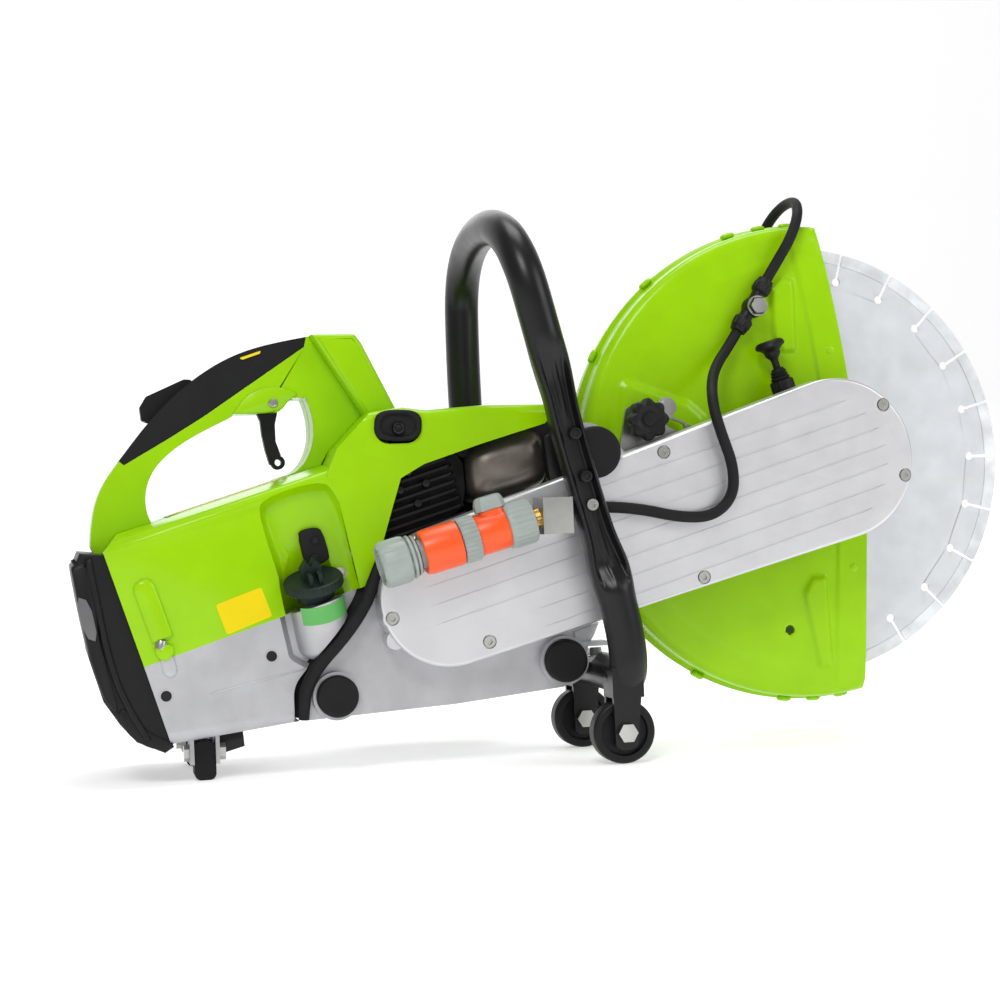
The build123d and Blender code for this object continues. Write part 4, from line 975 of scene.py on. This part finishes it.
# its depth: pairs of y and the rim's inset there
HOLLOW_STEPS = ((-70, -1.0), (-65.5, 0), (-62, 1.6), (-59, 3.6), (-57, 6.2), (-56, 10))


def rear_shell():
    """Rear body with the hollow round the filler cap pressed into its near side."""
    rings = []
    for y, inset in HOLLOW_STEPS:
        rings.append([Vector((x, y, z)) for x, z in shrink(soften(HOLLOW_RIM), inset)])
    cutter = stack("rear_hollow", rings, "green_paint", None)
    body = link(bpy.data.objects.new("rear_body_cut", NODES["rear_body"].data.copy()))
    cut = body.modifiers.new("hollow", "BOOLEAN")
    cut.object = cutter
    mesh = evaluated_mesh(body)
    mesh.materials.clear()
    bpy.data.objects.remove(body)
    bpy.data.objects.remove(cutter)
    shell = add("rear_body_shell", mesh, "green_paint", "chassis")
    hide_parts("rear_body")
    round_edges(shell)


ROPE_STEPS = 60


def starter_rope():
    """Short straight rope up to the starter's grip."""
    foot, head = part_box("starter_rope")
    x, y = (foot[0] + head[0]) / 2, (foot[1] + head[1]) / 2
    line = [Vector((x, y, foot[2] + (head[2] - foot[2]) * n / ROPE_STEPS)) for n in range(ROPE_STEPS + 1)]
    radius = (head[0] - foot[0]) / 2 / MM
    rope = sweep("starter_rope_line", line, lambda n, t: circle(radius, 12), "rope", None)
    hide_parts("starter_rope")
    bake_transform(rope)


# ---------------------------------------------------------------- floor, light and camera
SKY_STRENGTH = 0.3
FLOOR_GLOW = 0.42                  # own light of the white floor
FLOOR_HALF_WIDTH = 6
FLOOR_PROFILE = ((-6, 0), (-2, 0), (1.6, 0), (2.2, 0.1), (2.7, 0.4), (3.0, 0.9), (3.1, 1.6), (3.1, 4.2))
# each lamp's name, place in metres, watts and width in metres
LAMPS = (("key", (-0.9, -2.0, 2.0), 30, 0.9), ("fill", (1.8, -1.6, 1.2), 14, 1.2),
         ("top", (0.1, 0.2, 2.4), 22, 1.2), ("back", (0.3, 2.2, 1.6), 9, 1.6))
LAMP_TARGET = Vector((0, 0, 0.2))
CAMERA_PLACE = (-0.3975, -1.5548, 0.1926)
CAMERA_HEADING, CAMERA_ROLL = radians(12.74), radians(-2.27)
WHITE = (1, 1, 1, 1)


def studio():
    """White floor that curves up behind the saw, four soft lamps and a dim even sky."""
    world = bpy.data.worlds.new("studio")
    bpy.context.scene.world = world
    world.use_nodes = True
    sky = world.node_tree.nodes["Background"].inputs
    sky["Color"].default_value = WHITE
    sky["Strength"].default_value = SKY_STRENGTH
    bpy.context.scene.view_settings.view_transform = "Standard"
    verts = [(x, y, z) for y, z in FLOOR_PROFILE for x in (-FLOOR_HALF_WIDTH, FLOOR_HALF_WIDTH)]
    faces = [(2 * n, 2 * n + 1, 2 * n + 3, 2 * n + 2) for n in range(len(FLOOR_PROFILE) - 1)]
    floor = mesh_of("floor", verts, faces)
    for face in floor.polygons:
        face.use_smooth = True
    ground = link(bpy.data.objects.new("floor", floor))
    pale = material("pale_floor", (0.86, 0.86, 0.86), 0.85, grain=60, grain_bump=0.02, mottle=0.004)
    glow = pale.node_tree.nodes["Principled BSDF"].inputs
    glow["Emission Color"].default_value = WHITE
    glow["Emission Strength"].default_value = FLOOR_GLOW
    ground.data.materials.append(pale)
    for name, place, power, width in LAMPS:
        lamp = bpy.data.lights.new(name, "AREA")
        lamp.energy = power
        lamp.size = width
        light = link(bpy.data.objects.new(name, lamp))
        light.location = place
        light.rotation_euler = (LAMP_TARGET - Vector(place)).to_track_quat("-Z", "Y").to_euler()


def camera():
    """Looks square at the side of the saw from near the floor, turned 12.7 degrees towards the rear."""
    data = bpy.data.cameras.new("camera")
    data.lens = 72.5
    data.sensor_width = 36
    data.shift_y = 0.0095
    data.clip_end = 50
    item = link(bpy.data.objects.new("camera", data))
    item.location = CAMERA_PLACE
    look = Vector((sin(CAMERA_HEADING), cos(CAMERA_HEADING), 0)).to_track_quat("-Z", "Y").to_matrix()
    item.rotation_euler = (look @ Matrix.Rotation(CAMERA_ROLL, 3, "Z")).to_euler()
    bpy.context.scene.camera = item


paint_cad()
hoses()
guard()
front_handle()
engine()
coupling()
guard_fittings()
grommet()
fuel_cap()
rubber_and_seal()
trigger_and_labels()
mouldings()
rear_cover()
rear_shell()
starter_rope()
studio()
camera()
